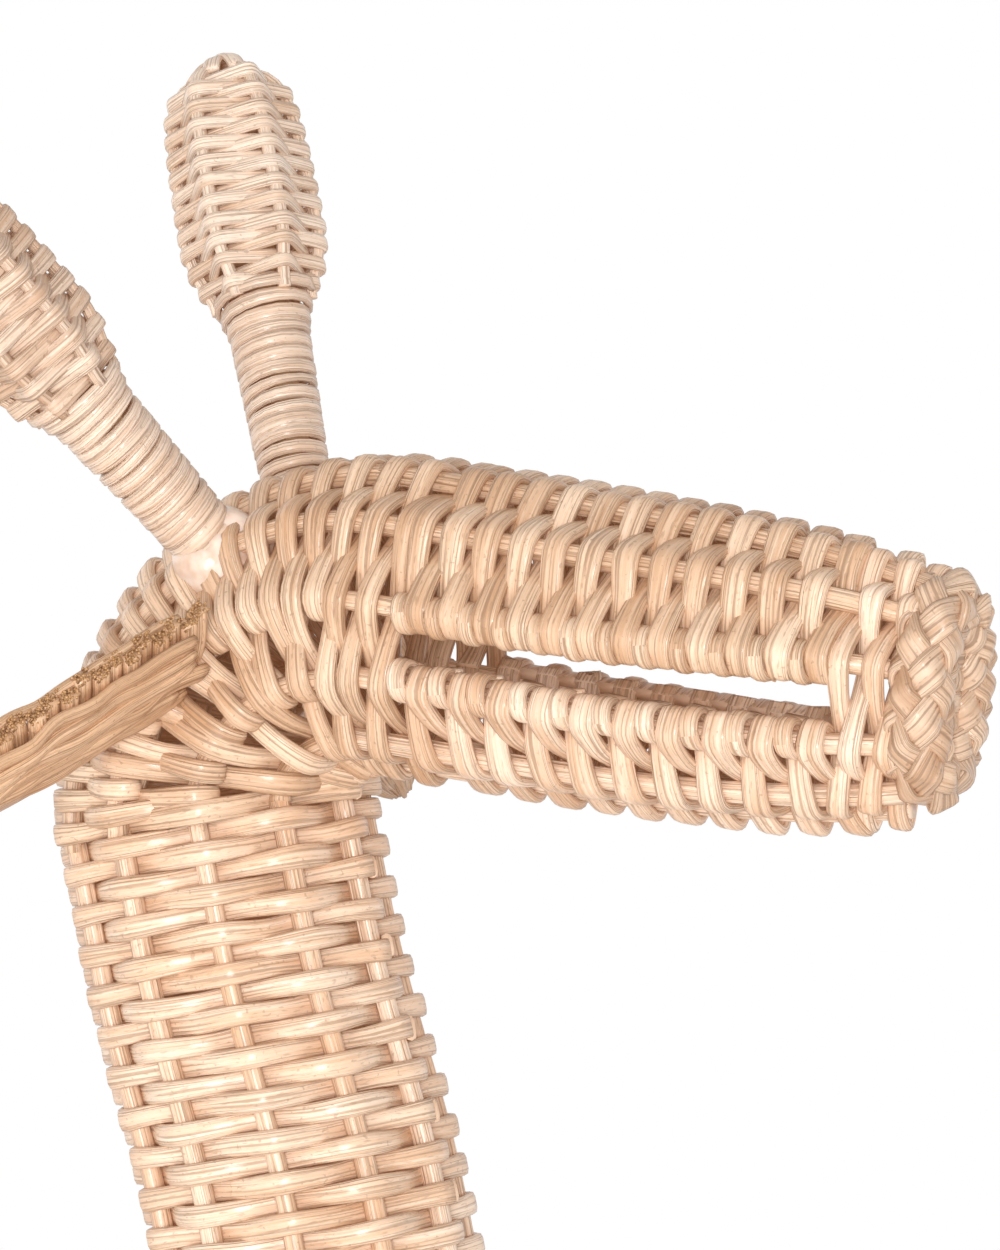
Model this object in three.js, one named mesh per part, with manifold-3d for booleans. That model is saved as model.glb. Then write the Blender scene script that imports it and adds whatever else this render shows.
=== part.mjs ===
// A giraffe-shaped storage basket of woven rattan. An oval basket stands on four wrapped legs. A hollow neck
// rises from its front wall and bends over into a head with an open mouth, two horns and two ears.
// All sizes are millimetres. X points to the nose, Z points up and the hooves stand on Z = 0.
import * as THREE from "three";
import { mergeVertices } from "three/addons/utils/BufferGeometryUtils.js";
import Module from "manifold-3d";

// The weave: strands go over and under round stakes, so a skin is a stake with a strand on each side. Their
// count is odd, so a strand that winds on and on changes sides at every stake.
const stakeDiameter = 3.4;
const strandThickness = 2;
const skinThickness = stakeDiameter + 2 * strandThickness;
const stakes = 11;
const headRowPitch = 3.2;
const neckRowPitch = 3.8;
const hoofRowPitch = 3.8;
const weaveDip = 2 * strandThickness;
const clearance = 0.3;
const cutOverrun = 4;

// The basket, measured outside at its rim. Its foot is drawn in a little.
const basketLength = 330;
const basketWidth = 234;
const basketDepth = 160;
const basketFootShare = 0.9;
const basketSquareness = 2.3;
const basketWall = 7;
const basketFloor = 6;
const basketSides = 48;
const basketStakeCount = 41;
const basketRoundCount = 20;
const basketEdge = 4;
const rimBorderDiameter = 11;
const rimBorderPlaits = 27;
const rimHoopDiameter = 9;
const rimHoopDrop = 9;
const footHoopDiameter = 10;
const footHoopInset = 16;

// The legs: a pole, the cane wound round it and a woven hoof.
const legHeight = 150;
const legAngle = THREE.MathUtils.degToRad(46);
const legPoleDiameter = 18;
const legCane = 3;
const hoofHeight = 38;
const hoofDiameter = 42;
const hoofTopDiameter = 32;
const hoofSole = 5;
const hoofStakes = 7;

// The neck leans back at its top and runs down into the front wall. The throat is the inner side of its bend.
const throatReach = 25;
const throatHeight = 560;
const neckLean = THREE.MathUtils.degToRad(12.6);
const neckDiameter = 59.4;
const neckFootDiameter = 76;
const neckFootInset = 33;
const neckFootRise = 52;
const neckBowReach = 72;
const neckBowRise = 76;
const neckStraight = 200;

// The head, measured from the throat along its own axis, which points a little down. It keeps its size as
// far as the middle of the mouth and then tapers to the muzzle, more and more. The lips part a little.
const headPitch = THREE.MathUtils.degToRad(6.1);
const bendRadius = 1.7;
const headHeight = 55.6;
const headWidth = 50;
const muzzleHeight = 43.6;
const muzzleWidth = 22.6;
const taperPower = 4;
const crownRows = 17;
const crownFlat = 2;
const mouthStart = 12;
const mouthEnd = 88;
const muzzleEnd = 99;
const upperLipBackAngle = THREE.MathUtils.degToRad(82);
const upperLipFrontAngle = THREE.MathUtils.degToRad(74);
const lowerLipBackAngle = THREE.MathUtils.degToRad(113);
const lowerLipFrontAngle = THREE.MathUtils.degToRad(115);
const lipBand = 2.1;
const lipBandPitch = 4.5;
const lipBandDip = 0.7;
const noseBorderDiameter = 8.5;
const noseBorderPlaits = 11;
const noseMat = 5;
const noseMatRise = 1;

// A horn: a pole through the crown, the cane wound round it and a woven tip on six stakes. The two horns are
// set by hand: the left one stands nearly upright and the right one leans back and aside.
const leftHorn = { back: 23, aside: 12, rise: 46, tiltShare: 0.36, splayShare: 0.26, stemLength: 43 };
const rightHorn = { back: 25, aside: 16, rise: 42, tiltShare: 0.58, splayShare: 0.71, stemLength: 37 };
const hornPoleDiameter = 6;
const hornPoleSides = 8;
const hornRoot = 14;
const hornStemDiameter = 12;
const hornStemTopDiameter = 14;
const hornStemSides = 7;
const hornCanePitch = 2.4;
const hornCaneDip = 0.4;
const hornTipLength = 46;
const hornTipDiameter = 24;
const hornTipTopDiameter = 17;
const hornTipFootShare = 1 / 3;
const hornTipTopShare = 1 / 2;
const hornTipRoundPower = 8;
const hornStakes = 6;
const hornStrandThickness = 1.5;
const hornRowPitch = 3.8;
const hornPlug = 20;
const glueDiameter = 21;
const glueSides = 10;
const glueProfile = [
  { riseShare: -0.5, widthShare: 1 },
  { riseShare: 0, widthShare: 1 },
  { riseShare: 0.1, widthShare: 0.9 },
  { riseShare: 0.2, widthShare: 0.66 },
];

// An ear: a woven leaf that stands out from the side of the crown.
const earBack = 21;
const earAside = 19;
const earRise = 21;
const earSweep = THREE.MathUtils.degToRad(20);
const earDroop = THREE.MathUtils.degToRad(17);
const earRoll = THREE.MathUtils.degToRad(24);
const earLength = 80;
const earWidth = 34;
const earThickness = 5.5;
const earCup = 4;
const earSteps = 10;
const earGrooveShare = 0.75;
const earStartShare = 0.16;
const earEndShare = 0.96;
const earSkewPower = 0.8;
const earFullPower = 0.7;
const earAcrossShares = [-1, -1 / 2, 0, 1 / 2, 1];

// The tail: a short wrapped cane with a frayed tuft.
const tailBelowRim = 22;
const tailReach = 26;
const tailDrop = 105;
const tailDiameter = 9;
const tailSteps = 14;
const tailSideSegments = 4;
const tuftLength = 36;
const tuftDiameter = 17;
const tuftRidges = 6;
const tuftRidgeShare = 0.8;
const tuftProfile = [
  { lengthShare: 0, diameterShare: 0.53 },
  { lengthShare: 0.25, diameterShare: 1 },
  { lengthShare: 0.7, diameterShare: 0.83 },
  { lengthShare: 1, diameterShare: 0.5 },
];

const wasm = await Module();
wasm.setup();

// A closed body through a row of rings with equal counts of points. Its ends are capped, or joined to each
// other where the row comes back to its start.
function bodyThrough(rings, joined = false) {
  const count = rings[0].length;
  const points = rings.flat();
  const index = [];
  const quad = (a, b, c, d) => index.push(a, b, c, a, c, d);
  for (let row = 0; row < rings.length - (joined ? 0 : 1); row += 1) {
    const here = row * count;
    const next = ((row + 1) % rings.length) * count;
    for (let k = 0; k < count; k += 1) {
      const after = (k + 1) % count;
      quad(here + k, here + after, next + after, next + k);
    }
  }
  if (!joined) {
    const last = (rings.length - 1) * count;
    addCap(points, index, [...rings[0].keys()].reverse());
    addCap(points, index, [...rings[0].keys()].map((k) => last + k));
  }
  return bodyOf(points, index);
}

// A fan of triangles over the ring of the given points.
function addCap(points, index, ring) {
  const centre = points.length;
  const sum = ring.reduce((total, k) => total.add(points[k]), new THREE.Vector3());
  points.push(sum.divideScalar(ring.length));
  ring.forEach((k, n) => index.push(centre, k, ring[(n + 1) % ring.length]));
}

// A body that one strand winds round, on and on, between two shares of its length. Its columns are its
// stakes, and each has a point at either end and one at each crossing. The strand lies outside at every
// second crossing, and drawn in by the dip at the others.
function spiralBody(columns, rounds, [from, to], dip, pointAt) {
  const crossings = rounds * columns;
  const points = [];
  const lines = Array.from({ length: columns }, (_, k) => {
    const line = [{ share: 0, inset: dip / 2 }];
    for (let n = k; n < crossings; n += columns) {
      const share = THREE.MathUtils.lerp(from, to, n / crossings);
      if (share > 0) line.push({ share, inset: n % 2 === 1 ? 0 : dip });
    }
    line.push({ share: 1, inset: dip / 2 });
    for (const place of line) {
      place.index = points.length;
      points.push(pointAt(k, place.share, place.inset));
    }
    return line;
  });
  const index = [];
  lines.forEach((line, k) => addStrip(index, line, lines[(k + 1) % columns]));
  addCap(points, index, lines.map((line) => line[0].index).reverse());
  addCap(points, index, lines.map((line) => line.at(-1).index));
  return bodyOf(points, index);
}

// Triangles between two lines of places, which go up both lines together.
function addStrip(index, left, right) {
  let [a, b] = [0, 0];
  while (a + 1 < left.length || b + 1 < right.length) {
    const [nextLeft, nextRight] = [left[a + 1], right[b + 1]];
    const goLeft = !nextRight || (nextLeft && nextLeft.share <= nextRight.share);
    index.push(left[a].index, right[b].index, (goLeft ? nextLeft : nextRight).index);
    if (goLeft) a += 1;
    else b += 1;
  }
}

function bodyOf(points, index) {
  const geometry = new THREE.BufferGeometry().setFromPoints(points);
  geometry.setIndex(volumeOf(points, index) < 0 ? index.reverse() : index);
  return geometry;
}

// The signed volume inside a list of triangles: it is negative where they face inwards.
function volumeOf(points, index) {
  let volume = 0;
  for (let k = 0; k < index.length; k += 3) {
    const [a, b, c] = [points[index[k]], points[index[k + 1]], points[index[k + 2]]];
    volume += a.dot(b.clone().cross(c)) / 6;
  }
  return volume;
}

function solidOf(geometry) {
  const bare = new THREE.BufferGeometry();
  bare.setAttribute("position", geometry.getAttribute("position"));
  bare.setIndex(geometry.index);
  const merged = mergeVertices(bare);
  const vertProperties = new Float32Array(merged.attributes.position.array);
  const triVerts = new Uint32Array(merged.index.array);
  return new wasm.Manifold(new wasm.Mesh({ numProp: 3, vertProperties, triVerts }));
}

function geometryOf(solid) {
  const { numProp, vertProperties, triVerts } = solid.getMesh();
  const positions = [];
  for (let v = 0; v < vertProperties.length; v += numProp) {
    positions.push(...vertProperties.subarray(v, v + 3));
  }
  const geometry = new THREE.BufferGeometry();
  geometry.setAttribute("position", new THREE.Float32BufferAttribute(positions, 3));
  geometry.setIndex(Array.from(triVerts));
  return geometry;
}

// A body with others cut away from it.
function cut(body, ...tools) {
  return geometryOf(tools.reduce((left, tool) => left.subtract(solidOf(tool)), solidOf(body)));
}

// The largest body left of a geometry, without the crumbs that a cut along a ridged face leaves.
function largest(geometry) {
  const bodies = solidOf(geometry).decompose();
  bodies.sort((a, b) => b.volume() - a.volume());
  return geometryOf(bodies[0]);
}

const model = new THREE.Group();

function rattan(color, roughness = 0.6) {
  return new THREE.MeshStandardMaterial({ color, roughness, metalness: 0 });
}

const bodyRattan = rattan(0xecceb1);
const headRattan = rattan(0xd9b998);
const paleCane = rattan(0xeedcc6, 0.5);
const poleRattan = rattan(0xd8b892);
const earRattan = rattan(0xd6ab84, 0.75);
const glueFinish = rattan(0xecd6c6, 0.3);

function add(parent, name, geometry, material) {
  const mesh = new THREE.Mesh(geometry, material.clone());
  geometry.computeVertexNormals();
  mesh.name = name;
  parent.add(mesh);
  return mesh;
}

// A round bar on the Z axis, tapered between its ends. Where it has a pitch, it has ridges of cane.
function wound(bottom, top, bottomRadius, topRadius, sides, pitch = 0, dip = 0) {
  const turns = pitch > 0 ? Math.max(1, Math.round((top - bottom) / pitch)) : 0;
  const steps = Math.max(1, 2 * turns);
  const rings = [];
  for (let step = 0; step <= steps; step += 1) {
    const share = step / steps;
    const full = THREE.MathUtils.lerp(bottomRadius, topRadius, share);
    const radius = step % 2 === 0 && turns > 0 ? full - dip : full;
    const height = THREE.MathUtils.lerp(bottom, top, share);
    rings.push(circle(sides, (turn) => [radius * Math.cos(turn), radius * Math.sin(turn), height]));
  }
  return bodyThrough(rings);
}

// A ring of points, one for each of so many equal turns.
function circle(sides, at) {
  return Array.from({ length: sides }, (_, k) => new THREE.Vector3(...at((k * 2 * Math.PI) / sides, k)));
}

// A point on the basket's oval, drawn in by an inset, at a share of its depth.
function ovalPoint(turn, share, inset) {
  const size = THREE.MathUtils.lerp(basketFootShare, 1, share);
  const a = (size * basketLength) / 2 - inset;
  const b = (size * basketWidth) / 2 - inset;
  const reach =
    (Math.abs(Math.cos(turn)) / a) ** basketSquareness + (Math.abs(Math.sin(turn)) / b) ** basketSquareness;
  const radius = reach ** (-1 / basketSquareness);
  return [radius * Math.cos(turn), radius * Math.sin(turn), legHeight + share * basketDepth];
}

// The turns of stakes that stand evenly round the oval, from the middle of the back on.
function evenTurns(count) {
  const line = circle(count * basketSides, (turn) => ovalPoint(turn - Math.PI, 1, 0));
  const outline = new THREE.Path(line.map((point) => new THREE.Vector2(point.x, point.y))).closePath();
  const spaced = outline.getSpacedPoints(count).slice(0, count);
  return spaced.map((point) => Math.atan2(point.y, point.x));
}

// The basket's solid oval form between two shares of its depth.
function ovalForm(inset, from, to) {
  const rings = [from, to].map((share) => circle(basketSides, (turn) => ovalPoint(turn, share, inset)));
  return bodyThrough(rings);
}

// The form that keeps other pieces clear of the wall: it stands off the wall's own stakes.
function wallRoom(from, to) {
  const ring = (share) => stakeTurns.map((turn) => new THREE.Vector3(...ovalPoint(turn, share, -clearance)));
  return bodyThrough([ring(from), ring(to)]);
}

// A bar of round section bent into a hoop through a line of places, each with its outward direction.
function hoop(places, radiusAt, sides) {
  const rings = places.map(({ point, outward }, n) => {
    const up = new THREE.Vector3().crossVectors(outward, places.axisAt(n)).normalize();
    return circle(sides, (turn, k) => {
      const radius = radiusAt(n, k);
      const offset = outward.clone().multiplyScalar(radius * Math.sin(turn));
      return point.clone().add(offset).addScaledVector(up, radius * Math.cos(turn)).toArray();
    });
  });
  return bodyThrough(rings, true);
}

// The places along a closed line of points in a plane, with outward directions square to the line.
function placesAlong(points) {
  const middle = points.reduce((sum, p) => sum.add(p), new THREE.Vector3()).divideScalar(points.length);
  const tangentAt = (n) => {
    const before = points[(n + points.length - 1) % points.length];
    const after = points[(n + 1) % points.length];
    return after.clone().sub(before).normalize();
  };
  const places = points.map((point, n) => {
    const outward = point.clone().sub(middle);
    outward.addScaledVector(tangentAt(n), -outward.dot(tangentAt(n))).normalize();
    return { point, outward };
  });
  places.axisAt = tangentAt;
  return places;
}

// The basket: a floor in a flared wall, with a plaited border on the rim and a hoop inside it.
const rimShare = 1;
const floorShare = basketFloor / basketDepth;
const overrunShare = cutOverrun / basketDepth;
const stakeTurns = evenTurns(basketStakeCount);
const edgeShare = basketEdge / basketDepth;
const wallEnds = [edgeShare, rimShare - edgeShare];
const basketForm = spiralBody(basketStakeCount, basketRoundCount, wallEnds, weaveDip, (k, share, inset) => {
  return new THREE.Vector3(...ovalPoint(stakeTurns[k], share, inset));
});
const wallGeometry = cut(basketForm, ovalForm(basketWall, -overrunShare, rimShare + overrunShare));
add(model, "basket_wall", wallGeometry, bodyRattan);
add(model, "basket_floor", ovalForm(basketWall + clearance, 0, floorShare), bodyRattan);

// A plaited border: a hoop whose section swells where each stake lies over the next.
function plait(points, diameter, sides) {
  const places = placesAlong(points);
  const swell = diameter / 2;
  const dip = swell - strandThickness / 2;
  return hoop(places, (n, k) => ((n + k) % 2 === 0 ? swell : dip), sides);
}

const borderShare = rimShare + (clearance + rimBorderDiameter / 2) / basketDepth;
const borderLine = circle(2 * rimBorderPlaits, (turn) => ovalPoint(turn, borderShare, basketWall / 2));
add(model, "rim_border", plait(borderLine, rimBorderDiameter, 6), bodyRattan);

const hoopSides = 6;
const hoopSteps = 32;

function plainHoop(diameter, share, inset) {
  const line = circle(hoopSteps, (turn) => ovalPoint(turn, share, inset));
  return hoop(placesAlong(line), () => diameter / 2, hoopSides);
}

const rimHoopShare = rimShare - (rimHoopDrop + rimHoopDiameter / 2) / basketDepth;
const rimHoopInset = basketWall + clearance + rimHoopDiameter / 2;
add(model, "rim_hoop", plainHoop(rimHoopDiameter, rimHoopShare, rimHoopInset), poleRattan);

const footHoopShare = -(clearance + footHoopDiameter / 2) / basketDepth;
add(model, "foot_hoop", plainHoop(footHoopDiameter, footHoopShare, footHoopInset), poleRattan);

// The legs stand under the foot hoop, the fore pair towards the neck.
const legTop = legHeight - footHoopDiameter - 2 * clearance;
const legSides = 12;

function addLeg(name, turn) {
  const [x, y] = ovalPoint(turn, footHoopShare, footHoopInset);
  const leg = new THREE.Group();
  leg.position.set(x, y, 0);
  model.add(leg);
  const poleRadius = legPoleDiameter / 2;
  const boreRadius = poleRadius + clearance;
  const pole = wound(hoofSole + clearance, legTop, poleRadius, poleRadius, legSides);
  add(leg, `${name}_pole`, pole, poleRattan);
  const caneRadius = boreRadius + legCane;
  const cane = wound(hoofHeight + clearance, legTop, caneRadius, caneRadius, legSides);
  const bore = wound(hoofSole, legTop + cutOverrun, boreRadius, boreRadius, legSides);
  add(leg, `${name}_binding`, cut(cane, bore), paleCane);
  add(leg, `${name}_hoof`, cut(hoofForm(), bore), bodyRattan);
}

// A hoof: a strand wound up a flare of stakes, flat where it stands.
function hoofForm() {
  const rows = Math.round(hoofHeight / hoofRowPitch);
  return spiralBody(hoofStakes, rows, [0, 1], strandThickness / 2, (k, share, inset) => {
    const full = THREE.MathUtils.lerp(hoofDiameter, hoofTopDiameter, Math.sin(share * (Math.PI / 2))) / 2;
    const turn = Math.PI + (k * 2 * Math.PI) / hoofStakes;
    const radius = full - inset;
    return new THREE.Vector3(radius * Math.cos(turn), radius * Math.sin(turn), share * hoofHeight);
  });
}

addLeg("fore_leg_left", legAngle);
addLeg("fore_leg_right", -legAngle);
addLeg("hind_leg_left", Math.PI - legAngle);
addLeg("hind_leg_right", Math.PI + legAngle);

// The neck and head are one tube of weave. A station is a section of it: a centre, the angle above X of the
// line from the throat side to the top side, half its height along that line and half its width. One stake
// runs along the throat side.
const basketFront = basketLength / 2;
const throat = new THREE.Vector3(basketFront + throatReach, 0, throatHeight);
const towards = (angle) => new THREE.Vector3(Math.cos(angle), 0, Math.sin(angle));
const quarterTurn = Math.PI / 2;

// The ring of a station, with a point on each stake, drawn in by the inset that each stake has there.
function stationRing(station, insetAt) {
  return circle(stakes, (turn, k) => stationPoint(station, turn, insetAt(k, turn)).toArray());
}

function stationPoint(station, turn, inset) {
  const point = station.centre.clone();
  point.addScaledVector(towards(station.angle), -(station.halfHeight - inset) * Math.cos(turn));
  point.y += (station.halfWidth - inset) * Math.sin(turn);
  return point;
}

// A station moved along the tube.
function shifted(station, distance) {
  const ahead = towards(station.angle - quarterTurn);
  return { ...station, centre: station.centre.clone().addScaledVector(ahead, distance) };
}

// A tube of weave through its stations, one for each row, with strands under every second stake. The weave is
// flatter where fade brings the rows together. The turn is counted from the throat side.
function wovenTube(stations, fade = () => 1) {
  const outer = stations.map((station, row) => {
    return stationRing(station, (k, turn) => ((row + k) % 2) * strandThickness * fade(turn));
  });
  return cut(bodyThrough(outer), boreOf(stations, skinThickness));
}

// The plain bore of a tube of weave, with a ring at every fourth station or so, run out past both its ends.
function boreOf(stations, inset, every = 4) {
  const kept = stations.filter((_, n) => n % every === 0 && n > 0 && n < stations.length - 1);
  const first = shifted(stations[0], -cutOverrun);
  const last = shifted(stations.at(-1), cutOverrun);
  return bodyThrough([first, ...kept, last].map((station) => stationRing(station, () => inset)));
}

// The crown: rows fan round the throat from the top of the neck to the back of the head.
const neckAngle = Math.PI + neckLean;
const headAngle = quarterTurn - headPitch;

function crownStation(share, halfGrowth = 0) {
  const angle = THREE.MathUtils.lerp(neckAngle, headAngle, share);
  const flat = crownFlat * Math.sin(share * Math.PI);
  const halfHeight = THREE.MathUtils.lerp(neckDiameter, headHeight, share) / 2 - flat;
  const halfWidth = THREE.MathUtils.lerp(neckDiameter, headWidth, share) / 2;
  const centre = throat.clone().addScaledVector(towards(angle), bendRadius + halfHeight);
  return { centre, angle, halfHeight: halfHeight + halfGrowth, halfWidth: halfWidth + halfGrowth };
}

// The crown's stations end where the mouth begins.
function crownStations(halfGrowth) {
  const fan = Array.from({ length: crownRows + 1 }, (_, row) => crownStation(row / crownRows, halfGrowth));
  return [...fan, shifted(fan.at(-1), mouthStart)];
}

const crownFade = (turn) => (1 - Math.cos(turn)) / 2;
const crownWeave = wovenTube(crownStations(0), crownFade);
const crownEnvelope = bodyThrough(crownStations(clearance).map((station) => stationRing(station, () => 0)));

// The neck: its line leaves the front wall, bows forwards and leans back to the crown.
const neckTop = shifted(crownStation(0), -clearance);
const neckAxis = towards(neckAngle - quarterTurn);
const neckLine = new THREE.CubicBezierCurve3(
  new THREE.Vector3(basketFront - neckFootInset, 0, legHeight + neckFootRise),
  new THREE.Vector3(basketFront + neckBowReach, 0, legHeight + neckBowRise),
  neckTop.centre.clone().addScaledVector(neckAxis, -neckStraight),
  neckTop.centre,
);
const neckRows = Math.round(neckLine.getLength() / neckRowPitch);

function neckStation(share) {
  const tangent = neckLine.getTangentAt(share);
  const half = THREE.MathUtils.lerp(neckFootDiameter, neckDiameter, Math.sin(share * quarterTurn)) / 2;
  const angle = Math.atan2(tangent.z, tangent.x) + quarterTurn;
  return { centre: neckLine.getPointAt(share), angle, halfHeight: half, halfWidth: half };
}

const neckForm = spiralBody(stakes, neckRows, [0, 1], weaveDip, (k, share, inset) => {
  return stationPoint(neckStation(share), (-k * 2 * Math.PI) / stakes, inset);
});
const neckStations = Array.from({ length: neckRows + 1 }, (_, row) => neckStation(row / neckRows));
const neckBore = boreOf(neckStations, skinThickness, 8);
const neckSkin = cut(neckForm, neckBore, wallRoom(-overrunShare, borderShare));
add(model, "neck_weave", largest(neckSkin), bodyRattan);

// The head, in a group whose origin is the throat, whose X runs to the nose and whose Z is its top side.
const head = new THREE.Group();
head.position.copy(throat);
head.rotation.y = headPitch;
model.add(head);

function headStation(distance, halfInset = 0) {
  const share = (distance / muzzleEnd) ** taperPower;
  const halfHeight = THREE.MathUtils.lerp(headHeight, muzzleHeight, share) / 2;
  const halfWidth = THREE.MathUtils.lerp(headWidth, muzzleWidth, share) / 2;
  const centre = new THREE.Vector3(distance, 0, bendRadius + headHeight / 2);
  return { centre, angle: quarterTurn, halfHeight: halfHeight - halfInset, halfWidth: halfWidth - halfInset };
}

function headStations(from, to) {
  const rows = Math.max(2, Math.round((to - from) / headRowPitch));
  const places = Array.from({ length: rows + 1 }, (_, row) => THREE.MathUtils.lerp(from, to, row / rows));
  return places.map((distance) => headStation(distance));
}

// The lips: each is a stake with bands of strand wrapped round it, on the edge of its jaw. A jaw has the
// angles of its lips from the top, at the back and the front. The side is 1 for the left and -1 for the right.
const upperJaw = { back: upperLipBackAngle, front: upperLipFrontAngle, side: 1 };
const lowerJaw = { back: lowerLipBackAngle, front: lowerLipFrontAngle, side: -1 };
const lipRadius = stakeDiameter / 2 + lipBand;
const lipSides = 5;
const lipFrom = mouthStart + clearance;
const lipTo = mouthEnd - clearance;

function lipPoint(distance, side, jaw) {
  const station = headStation(distance, skinThickness / 2);
  const share = (distance - lipFrom) / (lipTo - lipFrom);
  const turn = THREE.MathUtils.lerp(jaw.back, jaw.front, share);
  const y = side * station.halfWidth * Math.sin(turn);
  const z = station.centre.z + station.halfHeight * Math.cos(turn);
  return new THREE.Vector3(distance, y, z);
}

function addLip(name, side, jaw) {
  const bands = Math.round((lipTo - lipFrom) / lipBandPitch);
  const rings = [];
  for (let step = 0; step <= 2 * bands; step += 1) {
    const place = lipPoint(THREE.MathUtils.lerp(lipFrom, lipTo, step / (2 * bands)), side, jaw);
    const radius = lipRadius - (step % 2 === 0 ? lipBandDip : 0);
    const round = circle(lipSides, (turn) => [0, radius * Math.cos(turn), radius * Math.sin(turn)]);
    rings.push(round.map((point) => point.add(place)));
  }
  add(head, name, bodyThrough(rings), headRattan);
}

addLip("upper_lip_left", 1, upperJaw);
addLip("upper_lip_right", -1, upperJaw);
addLip("lower_lip_left", 1, lowerJaw);
addLip("lower_lip_right", -1, lowerJaw);

// The jaws: the head's tube parted by the mouth, which leaves room for the lips.
const jawTube = wovenTube(headStations(lipFrom, lipTo));
const jawCuts = 4;

function jawSkin(jaw) {
  const rings = Array.from({ length: jawCuts + 1 }, (_, n) => {
    const distance = THREE.MathUtils.lerp(lipFrom, lipTo, n / jawCuts);
    const overrun = cutOverrun * Math.sign(n / jawCuts - 1 / 2);
    const edge = lipPoint(distance, 1, jaw).z + jaw.side * (lipRadius + clearance);
    const far = edge - jaw.side * 2 * headHeight;
    const corners = [
      [-headWidth, edge],
      [headWidth, edge],
      [headWidth, far],
      [-headWidth, far],
    ];
    return corners.map(([y, z]) => new THREE.Vector3(distance + overrun, y, z));
  });
  return largest(cut(jawTube, bodyThrough(rings)));
}

add(head, "upper_jaw_weave", jawSkin(upperJaw), headRattan);
add(head, "lower_jaw_weave", jawSkin(lowerJaw), headRattan);

// The muzzle: full rows in front of the mouth, closed by a plaited border with a small mat inside it.
add(head, "muzzle_weave", wovenTube(headStations(mouthEnd, muzzleEnd)), headRattan);

const borderRadius = noseBorderDiameter / 2;
const borderDistance = muzzleEnd + clearance + borderRadius;
const noseSides = 2 * noseBorderPlaits;

// A ring of the nose: two straight sides with a half circle above and below, in evenly spaced points.
function noseRing(inset, distance) {
  const round = muzzleWidth / 2 - inset;
  const straight = (muzzleHeight - muzzleWidth) / 2;
  const outline = new THREE.Path().absarc(0, straight, round, 0, Math.PI);
  outline.absarc(0, -straight, round, Math.PI, 2 * Math.PI).closePath();
  const middle = headStation(muzzleEnd).centre.z;
  const spaced = outline.getSpacedPoints(noseSides).slice(0, noseSides);
  return spaced.map((point) => new THREE.Vector3(distance, point.x, middle + point.y));
}

add(head, "nose_border", plait(noseRing(borderRadius, borderDistance), noseBorderDiameter, 8), headRattan);

const matInset = noseBorderDiameter + clearance;
const matRings = [
  noseRing(matInset, borderDistance - noseMat / 2),
  noseRing(matInset, borderDistance + noseMat / 2),
  noseRing(matInset + noseMatRise, borderDistance + noseMat / 2 + noseMatRise),
];
add(head, "nose_mat", bodyThrough(matRings), headRattan);

// A horn, in a group at its root whose Z runs along it. The side is 1 for the left and -1 for the right.
const poleHoles = [];

function hornFrame(horn, side) {
  const frame = new THREE.Group();
  frame.position.set(throat.x - horn.back, side * horn.aside, throat.z + horn.rise);
  const direction = new THREE.Vector3(-horn.tiltShare, side * horn.splayShare, 1).normalize();
  frame.quaternion.setFromUnitVectors(new THREE.Vector3(0, 0, 1), direction);
  frame.updateMatrix();
  model.add(frame);
  return frame;
}

// A body of the whole model seen in the frame of a group that the model holds.
function seenFrom(frame, geometry) {
  return geometry.clone().applyMatrix4(frame.matrix.clone().invert());
}

// The woven tip: rows on its stakes, widest above its foot and rounded at its top.
function hornTip(foot) {
  const rows = Math.round(hornTipLength / hornRowPitch);
  const footRadius = hornStemTopDiameter / 2 + hornStrandThickness;
  const rings = [];
  for (let row = 0; row <= rows; row += 1) {
    const share = row / rows;
    const widest = THREE.MathUtils.lerp(hornTipDiameter, hornTipTopDiameter, share ** 2) / 2;
    const open = Math.min(1, share / hornTipFootShare);
    const closing = Math.sqrt(Math.max(0, 1 - share ** hornTipRoundPower));
    const swell = THREE.MathUtils.lerp(footRadius, widest, Math.sin(open * quarterTurn));
    const full = swell * Math.max(closing, hornTipTopShare);
    rings.push(
      circle(2 * hornStakes, (turn, k) => {
        const under = k % 2 === 0 && (row + k / 2) % 2 === 0;
        const radius = full - (under ? hornStrandThickness : 0);
        return [radius * Math.cos(turn), radius * Math.sin(turn), foot + share * hornTipLength];
      }),
    );
  }
  return bodyThrough(rings);
}

function addHorn(name, horn, side) {
  const frame = hornFrame(horn, side);
  const poleRadius = hornPoleDiameter / 2;
  const boreRadius = poleRadius + clearance;
  const poleTop = horn.stemLength + hornPlug;
  const pole = wound(-hornRoot, poleTop, poleRadius, poleRadius, hornPoleSides);
  add(frame, `${name}_pole`, pole, poleRattan);
  const bore = wound(-hornRoot - cutOverrun, poleTop + clearance, boreRadius, boreRadius, hornPoleSides);
  const envelope = seenFrom(frame, crownEnvelope);
  const stemRadius = hornStemDiameter / 2;
  const topRadius = hornStemTopDiameter / 2;
  const winding = [hornStemSides, hornCanePitch, hornCaneDip];
  const stem = wound(-stemRadius, horn.stemLength, stemRadius, topRadius, ...winding);
  add(frame, `${name}_binding`, largest(cut(stem, bore, envelope)), paleCane);
  add(frame, `${name}_tip`, cut(hornTip(horn.stemLength + clearance), bore), paleCane);
  const [roomBottom, roomTop] = [stemRadius, topRadius].map((radius) => radius + clearance);
  const room = wound(-hornRoot, horn.stemLength, roomBottom, roomTop, hornStemSides);
  add(frame, `${name}_glue`, largest(cut(glueForm(), room, envelope)), glueFinish);
  poleHoles.push(bore.clone().applyMatrix4(frame.matrix));
}

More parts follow.
